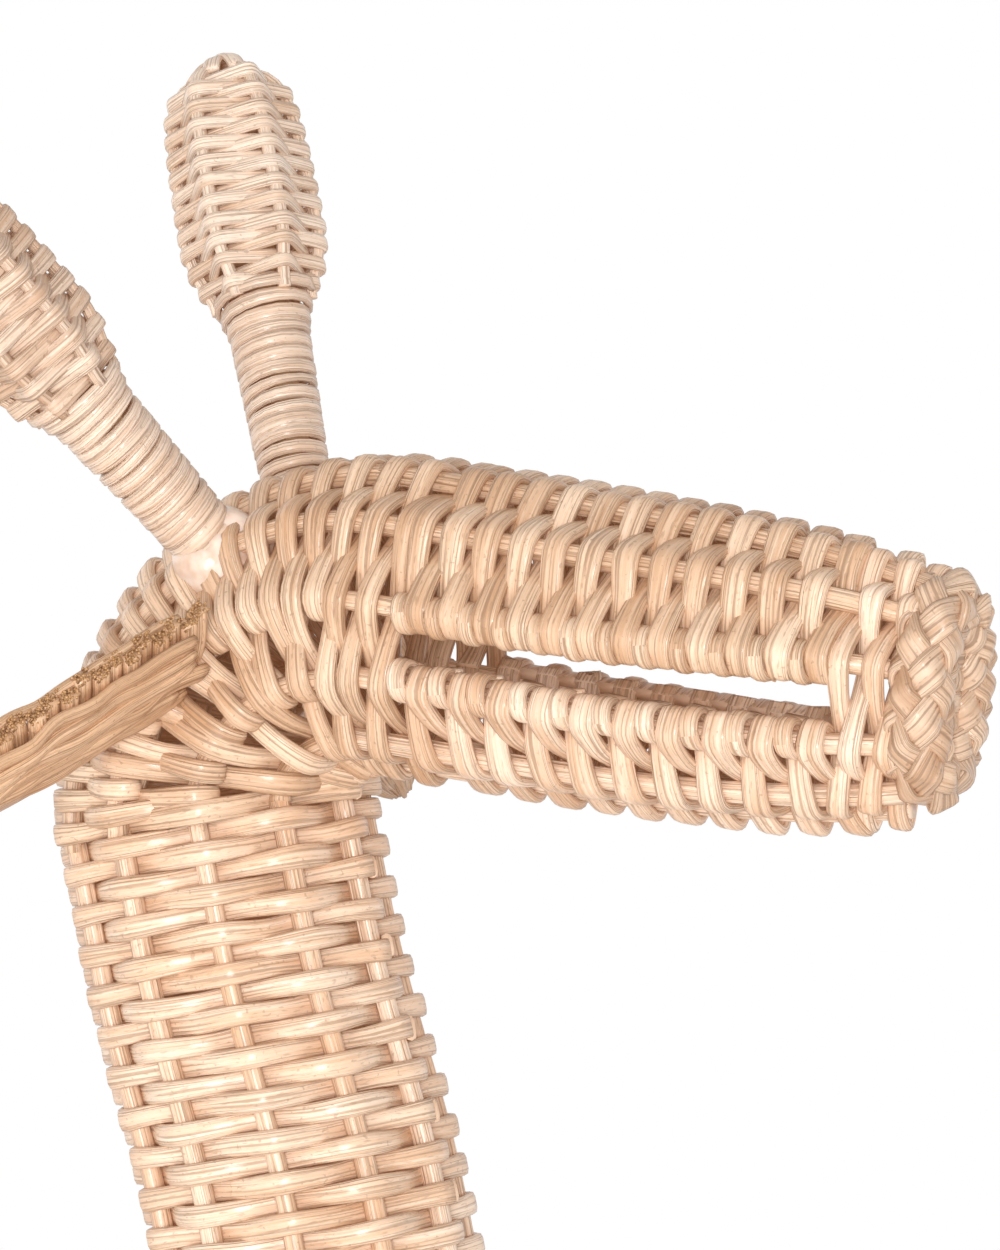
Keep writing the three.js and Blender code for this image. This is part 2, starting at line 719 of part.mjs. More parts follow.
// The bead of glue round the root of a horn, a low dome.
function glueForm() {
  return bodyThrough(
    glueProfile.map(({ riseShare, widthShare }) => {
      const radius = (widthShare * glueDiameter) / 2;
      const rise = riseShare * glueDiameter;
      return circle(glueSides, (turn) => [radius * Math.cos(turn), radius * Math.sin(turn), rise]);
    }),
  );
}

addHorn("horn_left", leftHorn, 1);
addHorn("horn_right", rightHorn, -1);
add(model, "crown_weave", cut(crownWeave, ...poleHoles), headRattan);

// An ear, in a group at its root whose X runs along the leaf and whose Z is its upper face.
function earForm() {
  const rings = [];
  for (let step = 0; step <= earSteps; step += 1) {
    const share = step / earSteps;
    const along = THREE.MathUtils.lerp(earStartShare, earEndShare, share) ** earSkewPower;
    const half = (earWidth / 2) * Math.sin(Math.PI * along) ** earFullPower;
    const thick = (earThickness / 2) * (step % 2 === 0 ? 1 : earGrooveShare);
    const place = share * earLength;
    const lift = (u) => earCup * u * u;
    const over = earAcrossShares.map((u) => new THREE.Vector3(place, u * half, lift(u) + thick));
    const under = earAcrossShares.map((u) => new THREE.Vector3(place, u * half, lift(u) - thick)).reverse();
    rings.push([...over, ...under]);
  }
  return bodyThrough(rings);
}

function addEar(name, side) {
  const frame = new THREE.Group();
  frame.position.set(throat.x - earBack, side * earAside, throat.z + earRise);
  const heading = side * (quarterTurn + earSweep);
  frame.rotation.set(side * earRoll, earDroop, heading, "ZYX");
  frame.updateMatrix();
  model.add(frame);
  add(frame, name, largest(cut(earForm(), seenFrom(frame, crownEnvelope))), earRattan);
}

addEar("ear_left", 1);
addEar("ear_right", -1);

// The tail: a wrapped cane that leaves the back wall and hangs, with a tuft on its end.
const tailHeight = legHeight + basketDepth - tailBelowRim;
const tailShare = 1 - tailBelowRim / basketDepth;
const [tailRootX] = ovalPoint(Math.PI, tailShare, basketWall);
const tailEndX = ovalPoint(Math.PI, tailShare, -tailReach)[0];
const tailLine = new THREE.CubicBezierCurve3(
  new THREE.Vector3(tailRootX, 0, tailHeight),
  new THREE.Vector3(tailEndX, 0, tailHeight),
  new THREE.Vector3(tailEndX, 0, tailHeight - tailDrop / 2),
  new THREE.Vector3(tailEndX, 0, tailHeight - tailDrop),
);
const tailSection = new THREE.Shape().absarc(0, 0, tailDiameter / 2, 0, 2 * Math.PI);
const tailSweep = { steps: tailSteps, curveSegments: tailSideSegments, extrudePath: tailLine };
const tailBar = mergeVertices(new THREE.ExtrudeGeometry(tailSection, tailSweep));
add(model, "tail_binding", largest(cut(tailBar, wallRoom(0, rimShare))), paleCane);

const tuftRings = tuftProfile.map(({ lengthShare, diameterShare }) => {
  return circle(2 * tuftRidges, (turn, k) => {
    const radius = ((diameterShare * tuftDiameter) / 2) * (k % 2 === 0 ? 1 : tuftRidgeShare);
    return [radius * Math.cos(turn), radius * Math.sin(turn), -clearance - lengthShare * tuftLength];
  });
});
const tuft = add(model, "tail_tuft", bodyThrough(tuftRings), earRattan);
tuft.position.set(tailEndX, 0, tailHeight - tailDrop);

// The origin is the middle of the box round the object, on the plane that it stands on.
const giraffe = new THREE.Group();
giraffe.add(model);
const middle = new THREE.Box3().setFromObject(model, true).getCenter(new THREE.Vector3());
model.position.set(-middle.x, -middle.y, 0);

export default giraffe;
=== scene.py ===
import math

import bpy
import numpy as np
from mathutils import Matrix, Vector


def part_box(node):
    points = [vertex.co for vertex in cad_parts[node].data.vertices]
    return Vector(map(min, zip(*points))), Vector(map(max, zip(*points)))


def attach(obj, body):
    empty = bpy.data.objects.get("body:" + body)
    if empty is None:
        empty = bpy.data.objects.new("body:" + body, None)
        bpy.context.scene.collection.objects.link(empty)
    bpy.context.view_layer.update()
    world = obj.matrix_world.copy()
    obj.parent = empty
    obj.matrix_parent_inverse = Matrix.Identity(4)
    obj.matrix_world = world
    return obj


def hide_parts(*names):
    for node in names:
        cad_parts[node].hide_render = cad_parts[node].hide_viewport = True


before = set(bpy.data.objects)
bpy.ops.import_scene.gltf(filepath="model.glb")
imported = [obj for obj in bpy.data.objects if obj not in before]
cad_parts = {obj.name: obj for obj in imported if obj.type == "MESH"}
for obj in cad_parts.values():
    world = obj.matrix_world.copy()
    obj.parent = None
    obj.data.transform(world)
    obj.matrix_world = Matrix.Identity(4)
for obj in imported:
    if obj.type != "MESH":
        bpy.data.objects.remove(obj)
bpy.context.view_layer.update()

# The view: the camera stands level with the head, on the animal's right and a little in front of it. It sees
# the head, the horns and the top of the neck from close by.
VIEW_AZIMUTH = math.radians(28)
VIEW_ELEVATION = math.radians(3)
VIEW_DISTANCE = 0.8
VIEW_ANGLE = math.radians(12.4)
VIEW_CLIP = 0.05
THROAT_REACH = 0.025
THROAT_HEIGHT = 0.560
AIM_RIGHT = 0.0205
AIM_UP = 0.0278


def box_of(node):
    """The lowest and the highest corner of a CAD node."""
    return [np.array(corner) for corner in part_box(node)]


def new_object(name, data):
    made = bpy.data.objects.new(name, data)
    bpy.context.scene.collection.objects.link(made)
    return made


wall_low, wall_high = box_of("basket_wall")
throat = np.array([wall_high[0] + THROAT_REACH, 0, THROAT_HEIGHT])
sin_a, cos_a = math.sin(VIEW_AZIMUTH), math.cos(VIEW_AZIMUTH)
sin_e, cos_e = math.sin(VIEW_ELEVATION), math.cos(VIEW_ELEVATION)
view_right = np.array([cos_a, sin_a, 0])
view_up = np.array([-sin_a * sin_e, cos_a * sin_e, cos_e])
view_back = np.array([sin_a * cos_e, -cos_a * cos_e, sin_e])
eye = throat + view_right * AIM_RIGHT + view_up * AIM_UP + view_back * VIEW_DISTANCE
camera_data = bpy.data.cameras.new("camera")
camera_data.sensor_fit = "HORIZONTAL"
camera_data.angle = VIEW_ANGLE
camera_data.clip_start = VIEW_CLIP
camera = new_object("camera", camera_data)
camera_axes = Matrix(np.stack([view_right, view_up, view_back], axis=1).tolist())
camera.matrix_world = Matrix.Translation(Vector(eye)) @ camera_axes.to_4x4()
bpy.context.scene.camera = camera

# The studio: a white floor that fades into the white surround, three soft lamps before the head and two weak
# ones behind it. A lamp has a name, a place right of the throat, above it and nearer the view, a size and a
# power.
FLOOR_HALF = 2.0
FLOOR_COLOUR = (0.86, 0.86, 0.86, 1)
FLOOR_ROUGHNESS = 0.9
FLOOR_GLOW_NEAR = 0.18
FLOOR_GLOW_FAR = 0.62
FLOOR_FADE = (0.35, 1.5)
WORLD_LIGHT = 0.48
FORWARD, LEFT, UP = np.eye(3)
LAMPS = [
    ("front", 0.0, 0.03, 1.3, 0.3, 12.0),
    ("low", -0.3, -0.42, 0.9, 0.7, 3.2),
    ("side", -1.1, -0.1, 0.6, 0.9, 2.5),
    ("rear left", -0.8, 0.35, -0.8, 0.8, 1.6),
    ("rear right", 0.9, 0.2, -0.6, 0.8, 1.6),
]
bpy.context.scene.view_settings.view_transform = "Standard"
floor_mesh = bpy.data.meshes.new("studio_floor")
floor_corners = [(x * FLOOR_HALF, y * FLOOR_HALF, 0) for x, y in ((-1, -1), (1, -1), (1, 1), (-1, 1))]
floor_mesh.from_pydata(floor_corners, [], [(0, 1, 2, 3)])
floor = new_object("studio_floor", floor_mesh)


class Shade:
    """A socket of a material's nodes. Sums on it add Math nodes, and node() adds a node of any other type."""

    def __init__(self, tree, socket=None):
        self.tree = tree
        self.socket = socket

    def join(self, made, inputs):
        """Fills or links a node's inputs."""
        for key, value in dict(inputs).items():
            if isinstance(value, Shade):
                self.tree.links.new(value.socket, made.inputs[key])
            else:
                made.inputs[key].default_value = value

    def node(self, kind, settings=(), inputs=(), output=0):
        """Adds a node, makes its settings, joins its inputs and gives the named output."""
        made = self.tree.nodes.new(kind)
        for key, value in dict(settings).items():
            setattr(made, key, value)
        self.join(made, inputs)
        return Shade(self.tree, made.outputs[output])

    def maths(self, operation, *values):
        return self.node("ShaderNodeMath", {"operation": operation}, dict(enumerate(values)))

    def __add__(self, other):
        return self.maths("ADD", self, other)

    __radd__ = __add__

    def __mul__(self, other):
        return self.maths("MULTIPLY", self, other)

    __rmul__ = __mul__

    def __sub__(self, other):
        return self.maths("SUBTRACT", self, other)

    def __rsub__(self, other):
        return self.maths("SUBTRACT", other, self)

    def step(self, low, high):
        """Rises smoothly from 0 at low to 1 at high."""
        rise = {"Value": self, "From Min": low, "From Max": high}
        return self.node("ShaderNodeMapRange", {"interpolation_type": "SMOOTHSTEP"}, rise)


def mixed(factor, first, second):
    """A colour between two colours, by a factor."""
    colours = [value if isinstance(value, Shade) else (*value, 1) for value in (first, second)]
    return factor.node("ShaderNodeMix", {"data_type": "RGBA"}, {0: factor, 6: colours[0], 7: colours[1]}, 2)


def by_sight(start, unseen, seen):
    """One colour for the light that it gives, and another for the camera and mirror images."""
    rays = [start.node("ShaderNodeLightPath", output=key) for key in ("Is Camera Ray", "Is Glossy Ray")]
    return mixed(start.maths("MAXIMUM", *rays), unseen, seen)


def new_material(name):
    """A material with an empty Principled surface: the shading start and the shader's node."""
    material = bpy.data.materials.new(name)
    material.use_nodes = True
    return material, Shade(material.node_tree), material.node_tree.nodes["Principled BSDF"]


white, start, shader = new_material("studio_white")
spot = start.node("ShaderNodeTexCoord", output="Object")
reach = start.node("ShaderNodeVectorMath", {"operation": "LENGTH"}, {0: spot}, "Value")
floor_glow = mixed(reach.step(*FLOOR_FADE), [FLOOR_GLOW_NEAR] * 3, [FLOOR_GLOW_FAR] * 3)
start.join(shader, {"Base Color": FLOOR_COLOUR, "Roughness": FLOOR_ROUGHNESS, "Emission Strength": 1})
start.join(shader, {"Emission Color": by_sight(start, (0, 0, 0), floor_glow)})
floor.data.materials.append(white)

world = bpy.data.worlds.new("studio")
world.use_nodes = True
bpy.context.scene.world = world
sky = Shade(world.node_tree)
sky.join(world.node_tree.nodes["Background"], {"Color": by_sight(sky, [WORLD_LIGHT] * 3, (1, 1, 1))})

for name, right, above, nearer, size, power in LAMPS:
    lamp_data = bpy.data.lights.new(name, "AREA")
    lamp_data.size = size
    lamp_data.energy = power
    place = Vector(throat + view_right * right + UP * above + view_back * nearer)
    facing = (place - Vector(throat)).to_track_quat("Z", "Y")
    new_object(name, lamp_data).matrix_world = Matrix.Translation(place) @ facing.to_matrix().to_4x4()

# The neck: a hollow tube of weave. Strands of round rattan core, pressed flat, go over and under eleven round
# stakes, round after round. The lines below say how a strand is bent, how it is wound and how rattan looks.
STAKES = 11
STAKE = 0.0034
STRAND_WIDTH = 0.0043
STRAND_THICKNESS = 0.0020
STRAND_FLATNESS = 0.62
STRAND_SHIFT = 0.37
MIDDLE_SHARE = 0.82
SWING_GAIN = 1.22
SWING = SWING_GAIN * (STAKE + STRAND_THICKNESS) / 2
HALF_SKIN = STAKE / 2 + STRAND_THICKNESS
TURN_WANDER = 0.003
OUT_WANDER = 0.00012
AHEAD_WANDER = 0.0002
WIDTH_WANDER = 0.05
STREAKS = {"grain": (30, 2300, 2), "hairs": (38, 4300, 1), "pores": (420, 5200, 1)}
SPOTS = {"patches": (55, 3), "specks": (1100, 1)}
MARKS = {"hairs": (0.50, 0.68, 0.65), "pores": (0.62, 0.74, 0.40), "specks": (0.68, 0.76, 0.45)}
MARK_DARKNESS = 0.45
STRAND_GLOW = (0.050, 0.022, 0.010, 1)
NECK_LEAN = math.radians(12.6)
NECK_TOP_HALF = 0.0297
NECK_FOOT_HALF = 0.038
NECK_FOOT = (-0.033, 0.202)
NECK_BOW = (0.072, 0.226)
NECK_STRAIGHT = 0.200
NECK_DRAW = 0.0032
NECK_DRAW_START = 0.82
NECK_DRAW_SPAN = 0.12
NECK_ROWS = 109
NECK_FIRST_ROW = 9
BEND_RADIUS = 0.0017
SQUARENESS = 2.3
FOOT_SHARE = 0.9
RIM_SHARE = 0.06
seed = np.random.default_rng(20)
wall_middle, wall_half = (wall_low + wall_high) / 2, (wall_high - wall_low) / 2
wall_depth = wall_high[2] - wall_low[2]


def uneven(shape, amount):
    """Small differences from strand to strand and place to place."""
    return seed.normal(0, amount, shape)


def unit(vectors):
    return vectors / np.maximum(np.linalg.norm(vectors, axis=-1, keepdims=True), 1e-9)


def towards(angle):
    """Unit vectors in the XZ plane at angles above X."""
    return np.stack([np.cos(angle), 0 * np.cos(angle), np.sin(angle)], axis=-1)


def even_turns(count, first=0.0):
    """Even turns round a circle, from a share of a step."""
    return (np.arange(count) + first) * 2 * np.pi / count


def signed_power(values, power):
    return np.sign(values) * np.abs(values) ** power


def smooth_rise(share):
    """From 0 to 1 with level ends: three times the square less twice the cube."""
    share = np.clip(share, 0, 1)
    return 3 * share**2 - 2 * share**3


def cubic(points, count):
    """A curve through the cubic weights of four points."""
    t = np.linspace(0, 1, count)[:, None]
    weights = [(1 - t) ** 3, 3 * t * (1 - t) ** 2, 3 * t**2 * (1 - t), t**3]
    return sum(weight * point for weight, point in zip(weights, points))


def at_run(share, line, *values):
    """Values at even shares of a line's length."""
    run = np.concatenate([[0], np.cumsum(np.linalg.norm(np.diff(line, axis=0), axis=1))])
    return [np.interp(share * run[-1], run, value) for value in values]


def spread(values, samples, closed):
    """Straight runs between an array's columns, cut into equal samples: each is the weighted mean of the two
    columns that it lies between."""
    after = np.roll(values, -1, axis=1) if closed else values[:, 1:]
    before = values if closed else values[:, :-1]
    share = np.arange(samples).reshape(1, 1, samples, *([1] * (values.ndim - 2))) / samples
    runs = before[:, :, None] * (1 - share) + after[:, :, None] * share
    runs = runs.reshape(values.shape[0], -1, *values.shape[2:])
    return runs if closed else np.concatenate([runs, values[:, -1:]], axis=1)


def smoothed(values, passes, closed=False):
    """Each pass replaces a sample by half of itself and a quarter of each neighbour."""
    for _ in range(passes):
        mean = values / 2 + (np.roll(values, 1, axis=1) + np.roll(values, -1, axis=1)) / 4
        if not closed:
            mean[:, 0], mean[:, -1] = values[:, 0], values[:, -1]
        values = mean
    return values


def quads_between(index, closed=False):
    """Faces between each ring of a grid of corners and the next one."""
    here, there = (index, np.roll(index, -1, -2)) if closed else (index[..., :-1, :], index[..., 1:, :])
    return np.stack([here, there, np.roll(there, -1, -1), np.roll(here, -1, -1)], axis=-1).reshape(-1, 4)


def strands(points, outward, width, thickness, closed=False, samples=4, passes=3, sides=10):
    """Strands through rows of points. A flat oval is carried along each smoothed line: its broad side faces
    outward, and its edge is the cross product of that side with the line's direction."""
    sizes = np.stack([np.broadcast_to(size, points.shape[:2]) for size in (width, thickness)], axis=-1)
    rows = (points, np.broadcast_to(outward, points.shape), sizes)
    line, facing, sizes = (smoothed(spread(row, samples, closed), passes, closed) for row in rows)
    slope = np.roll(line, -1, axis=1) - np.roll(line, 1, axis=1) if closed else np.gradient(line, axis=1)
    along = unit(slope)
    facing = unit(facing - (facing * along).sum(-1, keepdims=True) * along)
    edge = np.cross(facing, along)
    turn = even_turns(sides)
    across, through = (signed_power(wave(turn), STRAND_FLATNESS) / 2 for wave in (np.cos, np.sin))
    offset = edge[:, :, None] * (sizes[:, :, :1] * across)[..., None]
    offset = offset + facing[:, :, None] * (sizes[:, :, 1:] * through)[..., None]
    count, length = line.shape[:2]
    index = np.arange(count * length * sides).reshape(count, length, sides)
    caps = np.zeros((0, sides), int) if closed else np.concatenate([index[:, 0], index[:, -1, ::-1]])
    step = np.linalg.norm(np.roll(line, -1, axis=1) - line, axis=-1)
    run = np.concatenate([np.zeros((count, 1)), np.cumsum(step, axis=1)], axis=1)
    run = (run + np.arange(count)[:, None] * STRAND_SHIFT)[:, : length + closed, None]
    rim = np.arange(sides + 1) / sides * 2 * STRAND_WIDTH
    here, there = run[:, :-1], run[:, 1:]
    corners = [(here, rim[:-1]), (there, rim[:-1]), (there, rim[1:]), (here, rim[1:])]
    uv = np.stack([np.stack(np.broadcast_arrays(*corner), axis=-1) for corner in corners], axis=-2)
    return {
        "points": (line[:, :, None] + offset).reshape(-1, 3),
        "quads": quads_between(index, closed),
        "uv": uv.reshape(-1, 2),
        "caps": caps,
        "tone": np.repeat(seed.random(count), length * sides),
    }


def piece_of(name, groups, finish, *nodes):
    """One mesh of many strands: quads with a UV map in metres along and across the strand, capped ends, and a
    tone for each strand."""

    def joined(key):
        return np.concatenate([group[key] for group in groups])

    points = joined("points")
    starts = np.cumsum([0] + [len(group["points"]) for group in groups[:-1]])
    quads = np.concatenate([group["quads"] + first for group, first in zip(groups, starts)])
    caps = [group["caps"] + first for group, first in zip(groups, starts)]
    loops = np.concatenate([quads.ravel(), *[cap.ravel() for cap in caps]])
    sizes = np.concatenate([np.full(len(quads), 4), *[np.full(len(cap), cap.shape[1]) for cap in caps]])
    mesh = bpy.data.meshes.new(name)
    mesh.vertices.add(len(points))
    mesh.vertices.foreach_set("co", points.ravel())
    mesh.loops.add(len(loops))
    mesh.loops.foreach_set("vertex_index", loops)
    mesh.polygons.add(len(sizes))
    mesh.polygons.foreach_set("loop_start", np.concatenate([[0], np.cumsum(sizes)[:-1]]))
    mesh.polygons.foreach_set("use_smooth", np.ones(len(sizes), bool))
    mesh.update(calc_edges=True)
    uv = np.concatenate([joined("uv"), np.zeros((len(loops) - quads.size, 2))])
    mesh.uv_layers.new(name="along_strand").data.foreach_set("uv", uv.ravel())
    mesh.attributes.new("tone", "FLOAT", "POINT").data.foreach_set("value", joined("tone"))
    first, second, third, fourth = np.moveaxis(points[quads], 1, 0)
    volume = (first * (np.cross(second, third) + np.cross(third, fourth))).sum()
    if volume < 0:
        mesh.flip_normals()
    mesh.validate()
    material, slot = finish
    mesh.materials.append(material)
    piece = new_object(name, mesh)
    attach(piece, "root")
    if nodes:
        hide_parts(*nodes)


def tube_place(tube_at):
    """The place function of a tube: points at a level and a turn, moved out and ahead, and the ways out. Each
    is the section's centre, plus its top direction times the half height and the turn's cosine, plus Y times
    the half width and the sine."""

    def place(level, turn, out=0.0, ahead=0.0):
        level, turn, out, ahead = np.broadcast_arrays(level, turn, out, ahead)
        centre, up, high, wide = tube_at(level)
        cos, sin, out, ahead = (values[..., None] for values in (np.cos(turn), np.sin(turn), out, ahead))
        high, wide = high[..., None], wide[..., None]
        points = centre + up * (high + out) * cos + LEFT * (wide + out) * sin + np.cross(LEFT, up) * ahead
        return points, unit(up * cos / high + LEFT * sin / wide)

    return place


def wound_rows(place, start, end, rows, first=0, stakes=STAKES, turns=4, swing=SWING, **settings):
    """Strands wound from one level to another, each on from where the last one ends. A strand's side is minus
    the cosine of half a turn for each stake, and the stakes are odd in number."""
    length = 2 * ((turns * stakes) // 2)
    count = round(rows * stakes / length)
    number = np.arange(count)[:, None] * length + np.arange(2 * length + 1) / 2
    level = start + number / (rows * stakes) * (end - start)
    turn = np.pi + number * 2 * np.pi / stakes + uneven(number.shape, TURN_WANDER)
    out = -np.cos(np.pi * (number + first)) * swing + uneven(number.shape, OUT_WANDER)
    points, outward = place(level, turn, out, uneven(number.shape, AHEAD_WANDER))
    widths = STRAND_WIDTH * (1 + uneven(number.shape, WIDTH_WANDER)) * np.where(number % 1, MIDDLE_SHARE, 1)
    return strands(points, outward, widths, STRAND_THICKNESS, **settings)


def rods_at(place, levels, turns, diameter=STAKE, passes=1):
    """Round stakes through some levels, each at its own turn."""
    return strands(*place(levels, turns[:, None]), diameter, diameter, samples=1, passes=passes)


def rattan(name, slot, shadow, light, roughness=0.5):
    """Rattan core and its slot: a tone for each strand, long grain with dark hairlines and short pores, and
    specks. A faint warm glow stands for the light that comes through the strands into the shade. A streak is
    its waves per metre along and across and its detail. A mark is where it starts, where it is full, and its
    depth."""
    material, start, shader = new_material(name)
    tone = start.node("ShaderNodeAttribute", {"attribute_name": "tone"}, output="Fac")
    uv = start.node("ShaderNodeUVMap", {"uv_map": "along_strand"})
    spot = start.node("ShaderNodeTexCoord", output="Object")
    noise = {}
    for key, (along, across, detail) in STREAKS.items():
        stretched = start.node("ShaderNodeMapping", (), {"Vector": uv, "Scale": (along, across, 1)})
        inputs = {"Vector": stretched, "Scale": 1, "Detail": detail}
        noise[key] = start.node("ShaderNodeTexNoise", {"noise_dimensions": "2D"}, inputs)
    for key, (scale, detail) in SPOTS.items():
        noise[key] = start.node("ShaderNodeTexNoise", (), {"Vector": spot, "Scale": scale, "Detail": detail})
    ripeness = tone * 0.3 + noise["patches"] * 0.7 + noise["grain"] * 0.9 - 0.48
    base = mixed(ripeness.step(0.0, 1.0), shadow, light)
    for key, (low, high, depth) in MARKS.items():
        base = mixed(noise[key].step(low, high) * depth, base, [value * MARK_DARKNESS for value in shadow])
    height = noise["grain"] * 0.7 + noise["hairs"] * -0.6 + noise["specks"] * 0.2
    bump = start.node("ShaderNodeBump", (), {"Height": height, "Strength": 0.9, "Distance": 0.0004})
    roughness = roughness + 0.22 * noise["grain"]
    start.join(shader, {"Base Color": base, "Roughness": roughness, "Normal": bump})
    start.join(shader, {"Coat Weight": 0.35, "Coat Roughness": 0.2})
    start.join(shader, {"Emission Color": STRAND_GLOW, "Emission Strength": 1})
    return material, slot


def neck_tube(share):
    """The neck's sections at shares of a cubic curve's length. Near its top it is drawn back a little."""
    top_angle = np.pi / 2 + NECK_LEAN
    top = throat + towards(top_angle + np.pi / 2) * (BEND_RADIUS + NECK_TOP_HALF)
    foot, bow = (np.array([wall_high[0] + x, 0, z]) for x, z in (NECK_FOOT, NECK_BOW))
    line = cubic([foot, bow, top - towards(top_angle) * NECK_STRAIGHT, top], 800)
    slope = np.gradient(line, axis=0)
    *centre, angle = at_run(share, line, *line.T, np.arctan2(slope[:, 2], slope[:, 0]))
    centre = np.stack(centre, axis=-1)
    centre[..., 0] -= NECK_DRAW * smooth_rise((share - NECK_DRAW_START) / NECK_DRAW_SPAN)
    half = NECK_FOOT_HALF + (NECK_TOP_HALF - NECK_FOOT_HALF) * np.sin(share * np.pi / 2) - HALF_SKIN
    return centre, towards(angle + np.pi / 2), half, half


def bulge(share):
    """How far an oval of the basket's squareness reaches at a share of its half width."""
    return (1 - np.abs(share) ** SQUARENESS) ** (1 / SQUARENESS)


def neck_place(*place):
    """Points that would lie inside the basket's front wall are moved out to the middle of the wall."""
    points, outward = tube_place(neck_tube)(*place)
    depth = (wall_high[2] - points[..., 2]) / wall_depth
    size = 1 - (1 - FOOT_SHARE) * np.clip(depth, 0, 1)
    reach = (wall_half[0] * size - HALF_SKIN) * bulge(points[..., 1] / (wall_half[1] * size))
    points[..., 0] = np.maximum(points[..., 0], np.where(depth > -RIM_SHARE, wall_middle[0] + reach, -np.inf))
    return points, outward


pale_rattan = rattan("pale_rattan", "rattan_weave", (0.67, 0.41, 0.245), (0.94, 0.78, 0.625))
neck_start = NECK_FIRST_ROW / NECK_ROWS
neck_weave = wound_rows(neck_place, neck_start, 1, NECK_ROWS - NECK_FIRST_ROW, 1, samples=3, passes=2)
neck_rods = rods_at(neck_place, np.linspace(neck_start, 1, 90), even_turns(STAKES) + np.pi)
piece_of("neck_strands", [neck_weave, neck_rods], pale_rattan, "neck_weave")

# The crown: the same tube turns over the throat. Every row runs round the top, and short pairs of rows turn
# back on the sides, because the throat has room for only a few. A kind of row has its places in each five
# rows, the number of its first stake and how many stakes it crosses.
MID_SKIN = 0.0031
HEAD_PITCH = math.radians(6.1)
HEAD_HIGH = 0.0278
HEAD_WIDE = 0.025
CROWN_ROWS = 31
CROWN_FLAT = 0.0012
CROWN_CURL = 0.16
CROWN_KINDS = [((0,), -6, 12), ((1, 2), -3, 6), ((3, 4), -4, 8)]
CURL_DEPTH = 0.7
CURL_RETURN = 0.2
TIP_SHARE = 0.9
BROW = 0.0006
# The crown and the upper jaw take a darker copy of the rattan than the lower jaw and the muzzle: painted
# shade on the top of the head, which faces up, away from the lamps before it and below it.
shaded_head_rattan = rattan("shaded_head_rattan", "rattan_head", (0.52, 0.30, 0.165), (0.86, 0.655, 0.48))


def crown_tube(share):
    """Sections that fan round the throat: their top turns evenly from the neck's angle to the head's."""
    angle = np.pi + NECK_LEAN + (np.pi / 2 - HEAD_PITCH - np.pi - NECK_LEAN) * share
    high = NECK_TOP_HALF + (HEAD_HIGH + BROW - NECK_TOP_HALF) * share
    high = high - CROWN_FLAT * np.sin(np.pi * np.clip(share, 0, 1))
    wide = NECK_TOP_HALF + (HEAD_WIDE - NECK_TOP_HALF) * share
    centre = throat + towards(angle) * (BEND_RADIUS + high)[..., None]
    centre[..., 0] -= NECK_DRAW * (1 - smooth_rise(share))
    return centre, towards(angle), high - MID_SKIN, wide - MID_SKIN


def by_turns(number):
    """The side at each crossing: 1 for outside and -1 for inside."""
    return 1 - 2 * (number % 2)


def open_rows(place, level, turn, first, curl, lean=0.0, width=STRAND_WIDTH, **settings):
    """Rows that stop at an outermost stake on each side. A strand outside that stake curls round it to the
    inside, and one inside ends there. A lean sets the middle of each row forward."""
    side = by_turns(np.arange(turn.shape[1]) + np.reshape(first, (-1, 1)))
    level = level.reshape(-1, 1)
    turns, sides = spread(turn, 2, False), spread(side.astype(float), 2, False)
    column = np.arange(turns.shape[1])
    forward = lean * (1 - np.abs(np.linspace(-1, 1, len(column)))) + uneven(turns.shape, AHEAD_WANDER)
    points, outward = place(level, turns, sides * SWING + uneven(turns.shape, OUT_WANDER), forward)
    widths = width * (1 + uneven(turns.shape, WIDTH_WANDER)) * np.where(column % 2, MIDDLE_SHARE, 1)

    def end(last, way):
        over, lip = side[:, [last]] > 0, turn[:, [last]]
        edge, edge_out = place(level, lip + way * curl, np.where(over, 0.0, -SWING * CURL_DEPTH))
        inner, inner_out = place(level, lip + way * curl * CURL_RETURN, -SWING)
        middle, _ = place(level, lip)
        edge_way = np.where(over[..., None], unit(edge - middle), edge_out)
        inner_way = np.where(over[..., None], -inner_out, inner_out)
        return np.concatenate([edge, inner], axis=1), np.concatenate([edge_way, inner_way], axis=1)

    left, left_way = end(0, -1)
    right, right_way = end(-1, 1)
    points = np.concatenate([left[:, ::-1], points, right], axis=1)
    outward = np.concatenate([left_way[:, ::-1], outward, right_way], axis=1)
    tips = np.full((len(turn), 2), width) * TIP_SHARE
    widths = np.concatenate([tips, widths, tips], axis=1)
    return strands(points, outward, widths, STRAND_THICKNESS, **settings)


crown_place = tube_place(crown_tube)
crown_row = np.arange(CROWN_ROWS)
crown_pieces = []
for kinds, first_number, count in CROWN_KINDS:
    rows = crown_row[np.isin((CROWN_ROWS - 1 - crown_row) % 5, kinds)]
    number = first_number + np.arange(count)
    turn = np.broadcast_to((number + 0.5) * 2 * np.pi / STAKES, (len(rows), count))
    level = (rows + 0.5) / CROWN_ROWS
    crown_pieces.append(open_rows(crown_place, level, turn, rows + first_number, CROWN_CURL))
crown_pieces.append(rods_at(crown_place, np.linspace(-0.02, 1.02, 24), even_turns(STAKES) + np.pi))

